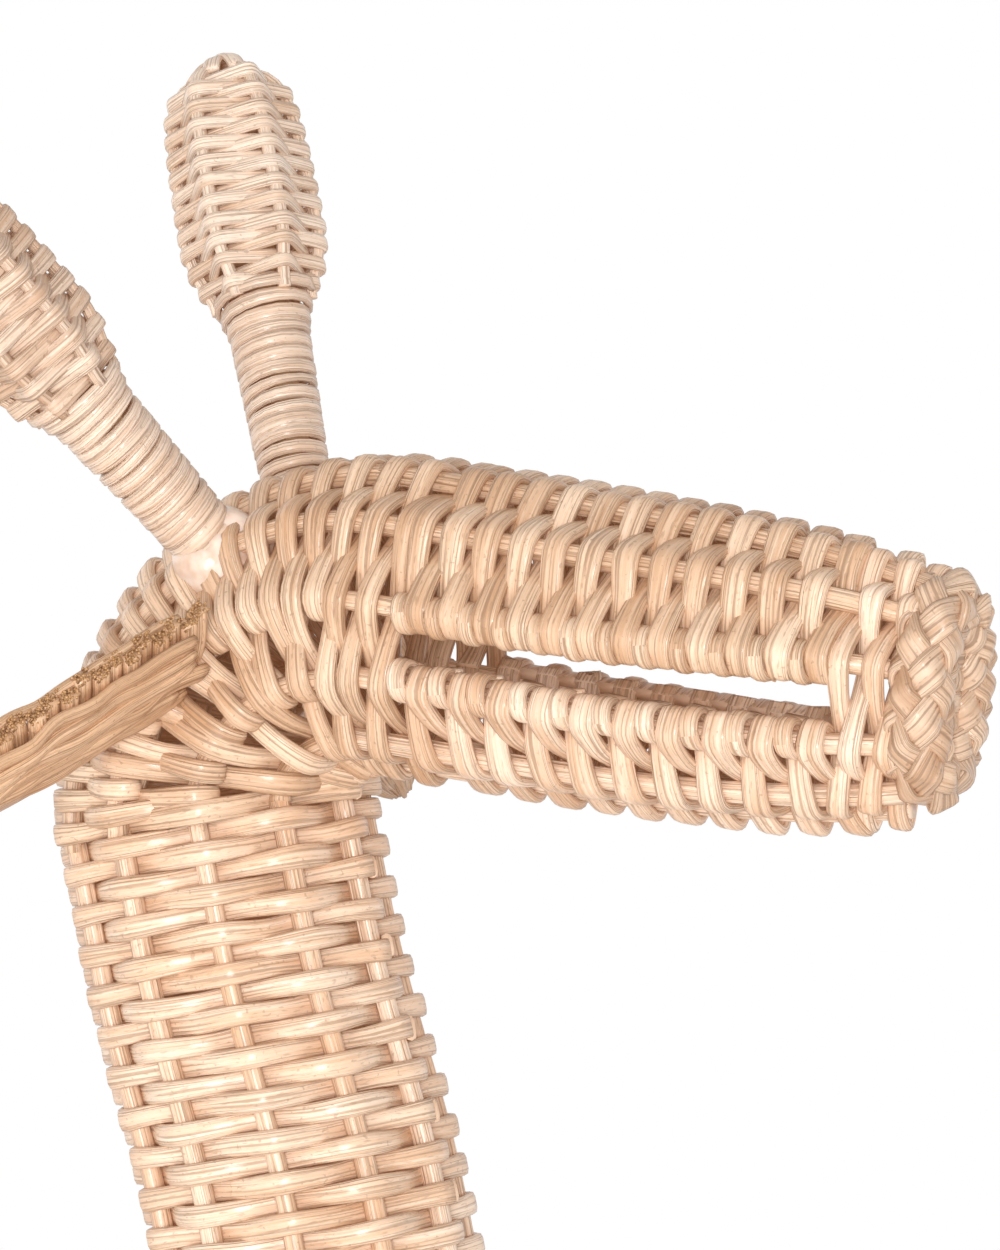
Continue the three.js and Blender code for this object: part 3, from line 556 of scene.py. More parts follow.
# The jaws: the head's tube is parted by the mouth. The rows of each jaw stop at its lip stakes and turn back
# round them. The head keeps its size at first and then tapers more and more. A jaw has the numbers of its
# stakes, its rows, its lean and its finish.
MUZZLE_HIGH = 0.0218
MUZZLE_WIDE = 0.0113
MUZZLE_END = 0.099
MOUTH_START = 0.012
MOUTH_END = 0.088
HEAD_ROW = 0.0032
BROW_LENGTH = 0.055
TAPER_POWER = 4
UPPER_LIP = np.radians([82, 76.5])
LOWER_LIP = np.radians([111.5, 114.5])
LOWER_LIP_SAG = math.radians(4)
UPPER_LIP_SAG = math.radians(9)
UPPER_SAG_START = 0.15
UPPER_SAG_SPAN = 0.45
LIP_CURL = 0.150
JAW_STRAND = 0.0050
jaw_rattan = rattan("jaw_rattan", "rattan_head", (0.61, 0.37, 0.22), (0.93, 0.755, 0.60))
JAWS = {
    # The upper jaw takes the darker head rattan: painted shade on the top of the head.
    "upper_jaw": (range(-3, 3), 24, 0.0, shaded_head_rattan),
    "lower_jaw": (range(3, 8), 20, 0.004, jaw_rattan),
}
head_way = towards(-HEAD_PITCH)


def head_tube(distance):
    """Sections along the head's line. The taper's share is the distance over the muzzle's end, to a power."""
    share = np.maximum(distance / MUZZLE_END, 0) ** TAPER_POWER
    brow = BROW * (1 - smooth_rise(distance / BROW_LENGTH))
    high = HEAD_HIGH + (MUZZLE_HIGH - HEAD_HIGH) * share + brow
    wide = HEAD_WIDE + (MUZZLE_WIDE - HEAD_WIDE) * share
    up = towards(np.pi / 2 - HEAD_PITCH + 0 * share)
    centre = throat + head_way * distance[..., None] + up * (BEND_RADIUS + HEAD_HIGH + brow)[..., None]
    return centre, up, high - MID_SKIN, wide - MID_SKIN


def stake_turns(numbers):
    """The even turns of the head's stakes, counted from the top."""
    return (np.array(numbers) + 0.5) * 2 * np.pi / STAKES


def fanned(turn, distance):
    """The turns of the head's stakes, from the top. They are even at the throat, and the lips' turns lead the
    others apart towards the nose. On the left side both lips hang a little."""
    share = np.clip((distance - MOUTH_START) / (MOUTH_END - MOUTH_START), 0, 1)
    upper = UPPER_LIP[0] + (UPPER_LIP[1] - UPPER_LIP[0]) * share**2
    lower = LOWER_LIP[0] + (LOWER_LIP[1] - LOWER_LIP[0]) * share
    around = (turn + np.pi) % (2 * np.pi) - np.pi
    lower = lower + LOWER_LIP_SAG * (around > 0)
    sag = 1 - smooth_rise((share - UPPER_SAG_START) / UPPER_SAG_SPAN)
    upper = upper + UPPER_LIP_SAG * (around > 0) * sag
    first, last, half = stake_turns([2, 3, 5])
    size = np.abs(around)
    above = size / first * upper
    gap = upper + (size - first) / (last - first) * (lower - upper)
    below = lower + (size - last) / (half - last) * (np.pi - lower)
    return turn + np.sign(around) * (np.where(size < first, above, np.where(size < last, gap, below)) - size)


def head_place(level, turn, *offsets):
    return tube_place(head_tube)(level, fanned(turn, level), *offsets)


def head_rods(numbers):
    return rods_at(head_place, np.linspace(-0.002, MUZZLE_END, 30), stake_turns(numbers))


def jaw_levels(rows):
    return MOUTH_START + (np.arange(rows) + 0.5) / rows * (MOUTH_END - MOUTH_START)


head_start = wound_rows(head_place, 0.0, MOUTH_START, MOUTH_START / HEAD_ROW, turns=1, samples=5)
# The crown takes the darker head rattan: painted shade on the top of the head.
piece_of("crown_strands", [*crown_pieces, head_start], shaded_head_rattan, "crown_weave")
for name, (numbers, rows, lean, finish) in JAWS.items():
    turn = np.broadcast_to(stake_turns(numbers), (rows, len(numbers)))
    first = np.arange(rows) + numbers[0]
    jaw_rows = open_rows(head_place, jaw_levels(rows), turn, first, LIP_CURL, lean, JAW_STRAND, samples=5)
    groups = [jaw_rows, head_rods(numbers[1:-1])]
    piece_of(f"{name}_strands", groups, finish, f"{name}_weave")

# The lips: the outermost stakes of the jaws. A short turn of strand goes round the stake between each two
# rows that curl round it.
WRAP_SHARE = 0.92
WRAP_THICKNESS = 0.0016
WRAP_RADIUS = 0.0030
WRAP_LEAN = 0.0006
WRAP_POINTS = 10
LIP_DROP = 0.0008


def lip_piece(name, jaw, number, way_in):
    """A lip's stake and its fillers: rings round the stake, drawn towards the mouth by the lip's drop."""
    _, rows, _, finish = JAWS[jaw]
    rod = head_rods([number])
    distance = jaw_levels(rows)[(np.arange(rows) + number) % 2 == 1][:, None]
    turn = fanned(stake_turns(number), distance) + way_in * LIP_DROP / HEAD_HIGH
    middle, outward = tube_place(head_tube)(distance, turn)
    ring = even_turns(WRAP_POINTS)[:, None]
    way = outward * np.cos(ring) + np.cross(head_way, outward) * np.sin(ring)
    reach = WRAP_RADIUS * (1 + uneven((len(distance), 1, 1), 0.06))
    points = middle + way * reach + head_way * np.sin(ring) * WRAP_LEAN
    width = WRAP_SHARE * (MOUTH_END - MOUTH_START) / rows
    wraps = strands(points, way, width, WRAP_THICKNESS, closed=True, samples=2, passes=1)
    piece_of(f"{name}_wraps", [rod, wraps], finish, name)


lip_piece("upper_lip_left", "upper_jaw", 2, 1)
lip_piece("upper_lip_right", "upper_jaw", -3, -1)
lip_piece("lower_lip_left", "lower_jaw", 3, -1)
lip_piece("lower_lip_right", "lower_jaw", 7, 1)

# The muzzle: full rows in front of the mouth hold the two jaws together. They are wound on all eleven stakes,
# as the neck's are.
MUZZLE_ROW = 0.0027
MUZZLE_START = MOUTH_END + 0.001
muzzle_rows = (MUZZLE_END - MUZZLE_START) / MUZZLE_ROW
muzzle_weave = wound_rows(head_place, MUZZLE_START, MUZZLE_END, muzzle_rows, turns=1, samples=5)
piece_of("muzzle_strands", [muzzle_weave], jaw_rattan, "muzzle_weave")

# The nose: the stakes' ends and more strands are plaited slantwise round the end of the tube, into a thick
# oval border. The last of them cross in a small mat that closes it.
NOSE_BAR = 0.012
NOSE_AHEAD = 0.0028
NOSE_RISE = 0.0012
NOSE_HIGH = 0.0208
NOSE_WIDE = 0.0145
NOSE_STRAND = 0.0056
NOSE_STRAND_THICKNESS = 0.0018
NOSE_PAIRS = 10
NOSE_LEVELS = 6
NOSE_TURNS = np.radians([210, -100])
PLAIT_CORE_INSET = 1.6
MAT_LANE = 0.0040
MAT_HIGH = 0.0150
MAT_WIDE = 0.0046
MAT_SHARE = 1.05
MAT_THICKNESS = 0.0016
MAT_AHEAD = 0.0012
MAT_LIFT = 0.0009
BARE = {"samples": 1, "passes": 0}
# The nose's plait and mat take a darker copy of the rattan: painted shade on the nose, which faces away from
# the side lamp.
shaded_nose_rattan = rattan("shaded_nose_rattan", "rattan_head", (0.44, 0.255, 0.145), (0.75, 0.56, 0.41))
nose_middle, nose_up, _, _ = head_tube(np.array(MUZZLE_END + NOSE_AHEAD))
nose_middle = nose_middle + nose_up * NOSE_RISE


def nose_line(share):
    """The middle of the nose's border, an ellipse, at shares of its length, and the ways out and forward."""
    half_width, half_height = NOSE_WIDE - NOSE_BAR / 2, NOSE_HIGH - NOSE_BAR / 2
    angle = np.linspace(0, 2 * np.pi, 721)
    line = np.stack([np.cos(angle) * half_width, np.sin(angle) * half_height], axis=1)
    (angle,) = at_run(share % 1, line, angle)
    side, rise = np.cos(angle)[..., None] * LEFT, np.sin(angle)[..., None] * nose_up
    points = nose_middle + side * half_width + rise * half_height
    return points, unit(side / half_width + rise / half_height), head_way


def plait(line, count, radius, width, thickness, ends, levels, **settings):
    """A plait on a closed bar. Two families of strands cross slantwise round it and lie outside by turns. At
    a turn of zero they face ahead, and at a quarter turn outward."""
    level = np.arange(levels + 1)
    angle = (ends[0] + (ends[1] - ends[0]) * level / levels)[:, None]
    groups = []
    for way in (1, -1):
        number = np.arange(count)[:, None] + way * level / 2 + (levels % 2) / 4
        points, outward, forward = line(number / count)
        facing = outward * np.sin(angle) + forward * np.cos(angle)
        side = way * by_turns(level) + uneven(number.shape, 0.1)
        points = spread(points + facing * (radius - thickness + thickness / 2 * side)[..., None], 2, False)
        widths = spread(width * (1 + uneven(number.shape, 0.06)), 2, False)
        groups.append(strands(points, spread(facing, 2, False), widths, thickness, **settings))
    points, outward, _ = line(np.linspace(0, 1, 4 * count, endpoint=False)[None, :])
    core = 2 * (radius - PLAIT_CORE_INSET * thickness)
    return [*groups, strands(points, outward, core, core, closed=True, **BARE)]


nose_sizes = (NOSE_BAR / 2, NOSE_STRAND, NOSE_STRAND_THICKNESS)
nose_groups = plait(nose_line, NOSE_PAIRS, *nose_sizes, NOSE_TURNS, NOSE_LEVELS, samples=5)
piece_of("nose_plait", nose_groups, shaded_nose_rattan, "nose_border")

mat_groups = []
mat_ways = [(nose_up, LEFT, MAT_HIGH, MAT_WIDE), (LEFT, nose_up, MAT_WIDE, MAT_HIGH)]
for first, (way, across, half_way, half_across) in enumerate(mat_ways):
    lanes, steps = (round(2 * half / MAT_LANE) for half in (half_across, half_way))
    lane = (((np.arange(lanes) + 0.5) / lanes * 2 - 1) * half_across)[:, None, None]
    step = (((np.arange(-1, steps + 1) + 0.5) / steps * 2 - 1) * half_way)[None, :, None]
    lift = by_turns(np.arange(lanes)[:, None] + np.arange(steps + 2) + first) * MAT_LIFT
    points = nose_middle + across * lane + way * step + head_way * (lift + MAT_AHEAD)[..., None]
    mat_groups.append(strands(points, head_way, MAT_LANE * MAT_SHARE, MAT_THICKNESS, samples=5))
piece_of("nose_mat_strands", mat_groups, shaded_nose_rattan, "nose_mat")

# The horns: a pole in the crown, wound with flat cane. Its tip is woven on six stakes, which flare out of the
# cane and bend over at the top. The left horn stands nearly upright and the right one leans back and aside. A
# horn's row is its root from the throat, its lean, its stem, and its tip's size, row and finish.
# The two tips take copies of one rattan: a lighter one on the left tip, painted light because that horn
# stands higher and farther from the lamps, and a darker one on the right tip, painted shade.
lit_left_tip_rattan = rattan("lit_left_tip_rattan", "pale_cane", (0.66, 0.44, 0.29), (0.95, 0.81, 0.68))
shaded_right_tip_rattan = rattan("shaded_right_tip_rattan", "pale_cane", (0.48, 0.29, 0.175), (0.88, 0.72, 0.58))
HORNS = {
    "horn_left": ((-0.023, 0.012, 0.046), (-0.36, 0.26, 1.0), 0.043, 1.0, 0.0019, lit_left_tip_rattan),
    "horn_right": ((-0.025, -0.016, 0.042), (-0.58, -0.71, 1.0), 0.037, 0.94, 0.0024, shaded_right_tip_rattan),
}
STEM_HALF = 0.0055
STEM_TOP_HALF = 0.0070
STEM_FLARE = 0.0022
STEM_FLARE_START = 0.78
STEM_FOOT = -0.004
HORN_CANE = (0.0026, 0.0030, 0.0014)
TIP_LENGTH = 0.046
TIP_STAKES = 6
TIP_STAKE = 0.0022
TIP_THICKNESS = 0.0015
TIP_STRAND_SHARE = 1.5
TIP_MIDDLE_SHARE = 0.93
TIP_FOOT_HALF = 0.0112
TIP_BELLY_HALF = 0.0146
TIP_NARROWING = 0.0020
TIP_ROUNDING = 14
TIP_WEAVE_END = 0.94
CAPS = 4
CAP_FOOT = 0.90
CAP_RISE = 0.0052
CAP_LAYER = 0.0004
CAP_BEND = 0.92
CAP_HALF = 0.0068
CAP_WIDTH = 0.0034
LOOP_FOOT = 0.93
LOOP_RISE = 0.0058
LOOP_ASIDE = 0.0026
LOOP_HALF = 0.0042
LOOP_SIZE = (0.0022, 0.0014)
cane = rattan("horn_cane", "pale_cane", (0.68, 0.47, 0.33), (0.93, 0.80, 0.67), roughness=0.38)


def horn_axes(name):
    """The horn's root and three directions: along it, and two square to it."""
    root, lean = HORNS[name][:2]
    along = unit(np.array(lean))
    first = unit(np.cross(LEFT, along))
    return throat + np.array(root), along, first, np.cross(along, first)


def round_bar(origin, along, first, second, turn, height, radius):
    """Points at a turn and height on a round bar: its origin, plus the height along it, plus the radius times
    the cosine and sine of the turn on its two cross directions."""
    way = first * np.cos(turn)[..., None] + second * np.sin(turn)[..., None]
    return origin + along * np.asarray(height)[..., None] + way * np.asarray(radius)[..., None], way


def wound_cane(axes, start, end, radius_at, pitch, width, thickness):
    """Flat cane wound in one helix, from start to end, at a pitch."""
    turns = (end - start) / pitch
    turn = np.linspace(0, 2 * np.pi * turns, int(turns * 16) + 1)[None, :]
    height = start + (end - start) * turn / turn[0, -1]
    wander = smoothed(uneven(turn.shape, 0.0005), 8)
    radius = radius_at(height / end) + uneven(turn.shape, 0.00004)
    points, way = round_bar(*axes, turn, height + wander, radius)
    widths = width * (1 + smoothed(uneven(turn.shape, 0.5), 12))
    return strands(points, way, widths, thickness, **BARE, sides=6)


def stem_half(share):
    flare = np.clip((share - STEM_FLARE_START) / (1 - STEM_FLARE_START), 0, 1) ** 2
    return STEM_HALF + (STEM_TOP_HALF - STEM_HALF) * share + STEM_FLARE * flare


def tip_half(share):
    """Half the width of a horn's tip: it opens quickly, narrows slowly and rounds off."""
    opening = np.sin(np.clip(share * 4, 0, 1) * np.pi / 2)
    share = np.maximum(share, 0)
    body = TIP_FOOT_HALF + (TIP_BELLY_HALF - TIP_FOOT_HALF) * opening - TIP_NARROWING * share**3
    return body * np.sqrt(np.maximum(1 - share**TIP_ROUNDING, 0.0))


def add_horn(name):
    root, along, first, second = axes = horn_axes(name)
    _, _, stem, size, pitch, finish = HORNS[name]
    wound = wound_cane(axes, STEM_FOOT, stem, stem_half, *HORN_CANE)
    piece_of(f"{name}_cane", [wound], cane, f"{name}_binding")

    # The tip's rows pass over and under its stakes.
    rows = int(TIP_LENGTH * TIP_WEAVE_END / pitch)
    shape = (rows, TIP_STAKES)
    share = ((np.arange(rows) + 0.3) * pitch / TIP_LENGTH)[:, None]
    corner = even_turns(TIP_STAKES, 0.5)
    inset = TIP_STAKE / 2 + TIP_THICKNESS
    side = by_turns(np.arange(rows)[:, None] + np.arange(TIP_STAKES))
    height = stem + share * TIP_LENGTH + uneven(shape, 0.0002)
    radius = tip_half(share) * size - inset + side * (TIP_STAKE + TIP_THICKNESS) / 2
    turn = corner + uneven(shape, 0.02)
    points, way = (spread(row, 2, True) for row in round_bar(*axes, turn, height, radius))
    widths = spread(TIP_STRAND_SHARE * pitch * (1 + uneven(shape, 0.07)), 2, True)
    widths = widths * np.where(np.arange(2 * TIP_STAKES) % 2, TIP_MIDDLE_SHARE, 1)
    weave = strands(points, way, widths, TIP_THICKNESS, closed=True, samples=5, passes=4)
    share = np.linspace(-0.04, 1.0, 30)
    half = np.maximum(tip_half(share) * size - inset, 0.0)
    points, way = round_bar(*axes, corner[:, None], stem + share * TIP_LENGTH, half)
    rods = strands(points, way, TIP_STAKE, TIP_STAKE, samples=1, passes=1)

    # The caps are strands bent over the top, and a small loop stands on them.
    over = np.linspace(-1, 1, 9)
    turn = (np.arange(CAPS) * 0.75 + 0.3)[:, None]
    way = first * np.cos(turn)[..., None] + second * np.sin(turn)[..., None]
    rise = (CAP_RISE + np.arange(CAPS)[:, None] * CAP_LAYER) * np.sqrt(1 - CAP_BEND * over**2)
    rise = stem + TIP_LENGTH * CAP_FOOT + rise
    points = root + along * rise[..., None] + way * (CAP_HALF * over)[:, None]
    caps = strands(points, unit(along * 0.6 + way * over[:, None]), CAP_WIDTH, TIP_THICKNESS, samples=3)
    turn = np.linspace(0, np.pi, 9)[None, :, None]
    rise = stem + TIP_LENGTH * LOOP_FOOT + LOOP_RISE * np.sin(turn)
    points = root + along * rise + second * (LOOP_ASIDE + LOOP_HALF * np.cos(turn))
    way = unit(along * np.sin(turn) + second * np.cos(turn))
    loops = strands(points, way, *LOOP_SIZE, samples=3, passes=2)
    piece_of(f"{name}_tip_strands", [weave, rods, caps, loops], finish, f"{name}_tip")


for name in HORNS:
    add_horn(name)

# The glue: a lump round each horn's root, clear and pinkish, that has run over the strands below it.
GLUE_TOP_RADIUS = 0.0060
GLUE_RADIUS = 0.0082
GLUE_HEIGHT = 0.0026
GLUE_FALL = 0.0042
GLUE_RUN = 0.0030
GLUE_FOOT = -0.0085
GLUE_FOOT_SHARE = 0.7
GLUE_SIDES = 48
GLUE_RINGS = 18
material, start, shader = new_material("glue_lump")
glue = (material, "glue")
spot = start.node("ShaderNodeTexCoord", output="Object")
blotches = start.node("ShaderNodeTexNoise", (), {"Vector": spot, "Scale": 300, "Detail": 2})
bump = start.node("ShaderNodeBump", (), {"Height": blotches, "Strength": 0.6, "Distance": 0.0008})
glue_colour = mixed(blotches.step(0.35, 0.7), (0.84, 0.66, 0.55), (0.70, 0.48, 0.35))
start.join(shader, {"Base Color": glue_colour, "Roughness": 0.42, "Coat Weight": 0.15, "Normal": bump})
soft = {"Subsurface Weight": 0.4, "Subsurface Radius": (1.0, 0.6, 0.4), "Subsurface Scale": 0.003}
start.join(shader, soft)


def add_glue(name):
    """A lumpy dome: its radius and height waver with the turn, and it sags towards the throat."""
    axes = horn_axes(name)
    turn = even_turns(GLUE_SIDES)[None, :]
    fall = np.linspace(0, 1, GLUE_RINGS)[:, None]
    waver = 1 + 0.09 * np.sin(3 * turn + 1) + 0.06 * np.sin(5 * turn) + 0.05 * np.sin(8 * turn + 2)
    radius = (GLUE_TOP_RADIUS + (GLUE_RADIUS - GLUE_TOP_RADIUS) * np.sin(fall * np.pi / 2)) * waver
    dome = GLUE_HEIGHT * (1 - fall**2) * (1 + 0.25 * np.sin(2 * turn + 0.5))
    points, _ = round_bar(*axes, turn, dome - GLUE_FALL * fall - GLUE_RUN * fall**4, radius)
    under, _ = round_bar(*axes, turn, GLUE_FOOT, GLUE_FOOT_SHARE * radius[-1:])
    points = np.concatenate([points, under]).reshape(-1, 3)
    index = np.arange(len(points)).reshape(-1, GLUE_SIDES)
    caps = np.stack([index[0], index[-1, ::-1]])
    quads = quads_between(index)
    group = {"points": points, "quads": quads, "caps": caps}
    group.update({"uv": np.zeros((quads.size, 2)), "tone": np.zeros(len(points))})
    piece_of(f"{name}_glue_lump", [group], glue, f"{name}_glue")


for name in HORNS:
    add_glue(name)

# The ears: leaves of flattened strands that run from root to tip in two layers, with cross strands between
# them. The cross strands are cut off at the edges, where their brown fibres fray.
EAR_ROOT = (-0.021, 0.019, 0.024)
EAR_SWEEP, EAR_DROOP, EAR_ROLL = np.radians([20, 24, -33])
EAR_LENGTH = 0.080
EAR_HALF_WIDTH = 0.017
EAR_CUP = 0.004
EAR_LANES = 9
EAR_LANE_POINTS = 16
EAR_LANE_SHARE = 0.97
EAR_LANE_OVERLAP = 2.9
EAR_LANE_THICKNESS = 0.0020
EAR_START = 0.09
EAR_END = 0.96
EAR_LAYER = 0.0023
EAR_ROW = 0.0034
EAR_ROW_SHARE = 0.95
EAR_ROW_SKEW = 0.002
EAR_ROW_LIFT = 0.0005
EAR_ROW_THICKNESS = 0.0024
FIBRES = 40
FIBRE_LENGTH = 0.0003
FIBRE_SIZE = (0.0005, 0.0004)
FIBRE_SPREAD = np.array([EAR_ROW, EAR_ROW_THICKNESS]) * 0.47
ear_rattan = rattan("ear_rattan", "frayed_rattan", (0.47, 0.25, 0.12), (0.84, 0.575, 0.37), roughness=0.65)
frayed = rattan("frayed_ends", "frayed_rattan", (0.36, 0.165, 0.055), (0.68, 0.40, 0.19), roughness=0.9)


def ear_half(share):
    """Half the leaf's width along it."""
    return EAR_HALF_WIDTH * np.sin(np.pi * (0.16 + 0.8 * np.clip(share, 0, 1)) ** 0.8) ** 0.7


def add_ear(name, side):
    turns = ((side * (np.pi / 2 + EAR_SWEEP), "Z"), (EAR_DROOP, "Y"), (side * EAR_ROLL, "X"))
    first, second, third = (Matrix.Rotation(angle, 3, axis) for angle, axis in turns)
    turned = np.array(first @ second @ third)
    root = throat + np.array(EAR_ROOT) * np.array([1, side, 1])
    along, left, up = turned.T

    def placed(run, across, lift):
        """Points along the leaf, across it by a share of its half width, and above its cupped middle."""
        cup = EAR_CUP * np.minimum(np.abs(across), 1.1) ** 2 + lift
        local = np.stack(np.broadcast_arrays(run, across * ear_half(run / EAR_LENGTH), cup), axis=-1)
        return root + local @ turned.T

    shape = (EAR_LANES, EAR_LANE_POINTS)
    first_share = EAR_START + np.abs(uneven((EAR_LANES, 1), 0.05))
    run = first_share + (1 - first_share) * np.linspace(0, 1, EAR_LANE_POINTS)
    lane = ((np.arange(EAR_LANES) + 0.5) / EAR_LANES * 2 - 1)[:, None]
    groups = []
    for layer in (-1, 1):
        lift = layer * (EAR_LAYER + uneven(shape, 0.0004))
        points = placed(run * EAR_LENGTH, lane * EAR_LANE_SHARE + uneven(shape, 0.02), lift)
        width = EAR_LANE_OVERLAP * ear_half(run) / EAR_LANES
        groups.append(strands(points, up * layer, width, EAR_LANE_THICKNESS, samples=3))
    rows = int(EAR_LENGTH * (EAR_END - EAR_START) / EAR_ROW)
    place = EAR_START * EAR_LENGTH + np.arange(rows)[:, None] * EAR_ROW
    ends = np.linspace(-1, 1, 7)
    reach = 1.0 + np.abs(uneven((rows, 1), 0.02))
    lift = np.where(np.arange(rows)[:, None] % 2 == 0, EAR_ROW_LIFT, -EAR_ROW_LIFT)
    points = placed(place + ends * EAR_ROW_SKEW, ends * reach, lift)
    groups.append(strands(points, up, EAR_ROW * EAR_ROW_SHARE, EAR_ROW_THICKNESS, samples=2, passes=1))
    piece_of(f"{name}_leaf", groups, ear_rattan, name)
    fibres = []
    for edge in (-1, 1):
        start = placed(place + edge * EAR_ROW_SKEW, edge * (reach - 0.01), lift)
        spots = seed.uniform(-1, 1, (rows, FIBRES, 2)) * FIBRE_SPREAD
        first = start + along * spots[..., :1] + up * spots[..., 1:]
        length = FIBRE_LENGTH + np.abs(uneven((rows, FIBRES, 1), 0.0004))
        last = first + left * edge * length + uneven((rows, FIBRES, 3), 0.0002)
        points = np.stack([first, (first + last) / 2, last], axis=2).reshape(-1, 3, 3)
        fibres.append(strands(points, up, *FIBRE_SIZE, **BARE, sides=5))
    piece_of(f"{name}_frayed_edge", fibres, frayed)


add_ear("ear_left", 1)
add_ear("ear_right", -1)

# The basket: an oval wall on forty-one stakes, woven of the same strands laid in pairs, with a floor of flat
# strands in its foot. The wall is drawn in a little towards the foot, where it stands on a hoop.
WALL_STAKES = 41
WALL_STAKE = 0.0030
WALL_ROUNDS = 20
WALL_EDGE = 0.004
PAIR_STEP = 0.0038
RING_EDGE = 0.0025
RING_CROSSING = 0.0012
WALL_INSET = WALL_STAKE / 2 + STRAND_THICKNESS
WALL_SWING = (WALL_STAKE + STRAND_THICKNESS) / 2
FLOOR_LANE = 0.0080
FLOOR_LANE_SHARE = 0.93
FLOOR_THICKNESS = 0.0016
FLOOR_LIFT = 0.7
FLOOR_CLEARANCE = 0.0083
WALL = {"samples": 3, "passes": 2, "sides": 6}
basket_rattan = rattan("basket_rattan", "rattan_weave", (0.64, 0.39, 0.225), (0.91, 0.74, 0.57))


def oval(share, height, inset):
    """Points on the basket at shares of its length, a height and an inset, and the ways out. The oval is a
    superellipse: x and y, each over its half length and raised to the squareness, sum to 1."""
    share, height, inset = np.broadcast_arrays(share, height, inset)
    angle = np.linspace(0, 2 * np.pi, 1441)
    waves = np.stack([np.cos(angle), np.sin(angle)], axis=1)
    line = signed_power(waves, 2 / SQUARENESS) * wall_half[:2]
    flat = np.stack(at_run(share % 1, line, *line.T), axis=-1)
    slope = signed_power(flat / wall_half[:2], SQUARENESS - 1) / wall_half[:2]
    outward = np.concatenate([unit(slope), np.zeros((*share.shape, 1))], axis=-1)
    size = 1 - (1 - FOOT_SHARE) * (wall_high[2] - height) / wall_depth
    points = np.concatenate([wall_middle[:2] + flat * size[..., None], height[..., None]], axis=-1)
    return points - outward * inset[..., None], outward


def wall_place(level, turn, out=0.0, ahead=0.0):
    return oval(turn / (2 * np.pi), wall_low[2] + level * wall_depth + ahead, WALL_INSET - out)


wall_weave = []
for offset in (-PAIR_STEP / 2, PAIR_STEP / 2):
    start, end = (WALL_EDGE + offset) / wall_depth, 1 + (offset - WALL_EDGE) / wall_depth
    spiral = wound_rows(wall_place, start, end, WALL_ROUNDS, 0, WALL_STAKES, 2, WALL_SWING, **WALL)
    wall_weave.append(spiral)
number = np.arange(4 * WALL_STAKES)[None, :] / 2
for level in (RING_EDGE / wall_depth, 1 - RING_EDGE / wall_depth):
    out, ahead = -np.cos(np.pi * number) * WALL_SWING, RING_CROSSING * np.cos(np.pi * number / WALL_STAKES)
    points, outward = wall_place(level, number * 2 * np.pi / WALL_STAKES, out, ahead)
    widths = STRAND_WIDTH * (1 + uneven(number.shape, WIDTH_WANDER))
    wall_weave.append(strands(points, outward, widths, STRAND_THICKNESS, closed=True, **WALL))
wall_rods = rods_at(wall_place, np.linspace(0, 1, 9), even_turns(WALL_STAKES) + np.pi, WALL_STAKE, 0)
piece_of("basket_wall_strands", [*wall_weave, wall_rods], basket_rattan, "basket_wall")


def mid_height(node):
    return sum(box_of(node))[2] / 2


def floor_lanes(way):
    """Flat strands across the floor: along X where way is 0 and along Y where it is 1. Each is cut off inside
    the wall, and passes over and under those of the other way."""
    half = wall_half[:2] * FOOT_SHARE - FLOOR_CLEARANCE
    lanes, crossings = (int(2 * half[axis] / FLOOR_LANE) for axis in (1 - way, way))
    crossing = (np.arange(crossings) - (crossings - 1) / 2) * FLOOR_LANE
    height = mid_height("basket_floor")
    made = []
    for lane in range(lanes):
        across = (lane - (lanes - 1) / 2) * FLOOR_LANE
        reach = half[way] * bulge(across / half[1 - way])
        inside = np.abs(crossing) < reach - FLOOR_LANE / 4
        side = by_turns(np.arange(crossings) + lane + way)[inside]
        along = np.concatenate([[-reach], crossing[inside], [reach]])
        points = np.zeros((1, len(along), 3))
        points[..., way], points[..., 1 - way] = wall_middle[way] + along, wall_middle[1 - way] + across
        points[..., 2] = height + np.concatenate([[0], side, [0]]) * FLOOR_THICKNESS * FLOOR_LIFT
        width = FLOOR_LANE * (FLOOR_LANE_SHARE + uneven(None, 0.02))
        made.append(strands(points, UP, width, FLOOR_THICKNESS, samples=3, passes=1, sides=6))
    return made


piece_of("basket_floor_strands", [*floor_lanes(0), *floor_lanes(1)], basket_rattan, "basket_floor")

# The rim and the hoops: the stakes' ends are plaited slantwise into a thick border on the wall. A smooth hoop
# of pole rattan runs inside it, and another runs under the foot.
RIM_BAR = 0.011
RIM_PLAITS = 80
RIM_LEVELS = 8
RIM_TURNS = np.radians([215, -125])
RIM_STRAND = 0.0056
RIM_INSET = HALF_SKIN - 0.0002
RIM_HOOP_BAR = 0.009
FOOT_HOOP_BAR = 0.010
FOOT_HOOP_INSET = 0.016
HOOP_POINTS = 160
pole_rattan = rattan("pole_rattan", "rattan_pole", (0.52, 0.33, 0.17), (0.74, 0.55, 0.36), roughness=0.4)


def rim_line(share):
    """The middle of the rim's border at shares of its length: points, and directions outward and up."""
    return *oval(share, mid_height("rim_border"), RIM_INSET), UP


rim_sizes = (RIM_BAR / 2, RIM_STRAND, STRAND_THICKNESS)
rim_groups = plait(rim_line, RIM_PLAITS, *rim_sizes, RIM_TURNS, RIM_LEVELS, samples=3, sides=6)
piece_of("rim_plait", rim_groups, basket_rattan, "rim_border")

for node, inset, bar in [
    ("rim_hoop", 2 * HALF_SKIN + RIM_HOOP_BAR / 2, RIM_HOOP_BAR),
    ("foot_hoop", FOOT_HOOP_INSET, FOOT_HOOP_BAR),
]:
    points, outward = oval(np.linspace(0, 1, HOOP_POINTS, endpoint=False)[None, :], mid_height(node), inset)
    hoop = strands(points, outward, bar, bar, closed=True, **BARE, sides=14)
    piece_of(f"{node}_bar", [hoop], pole_rattan, node)

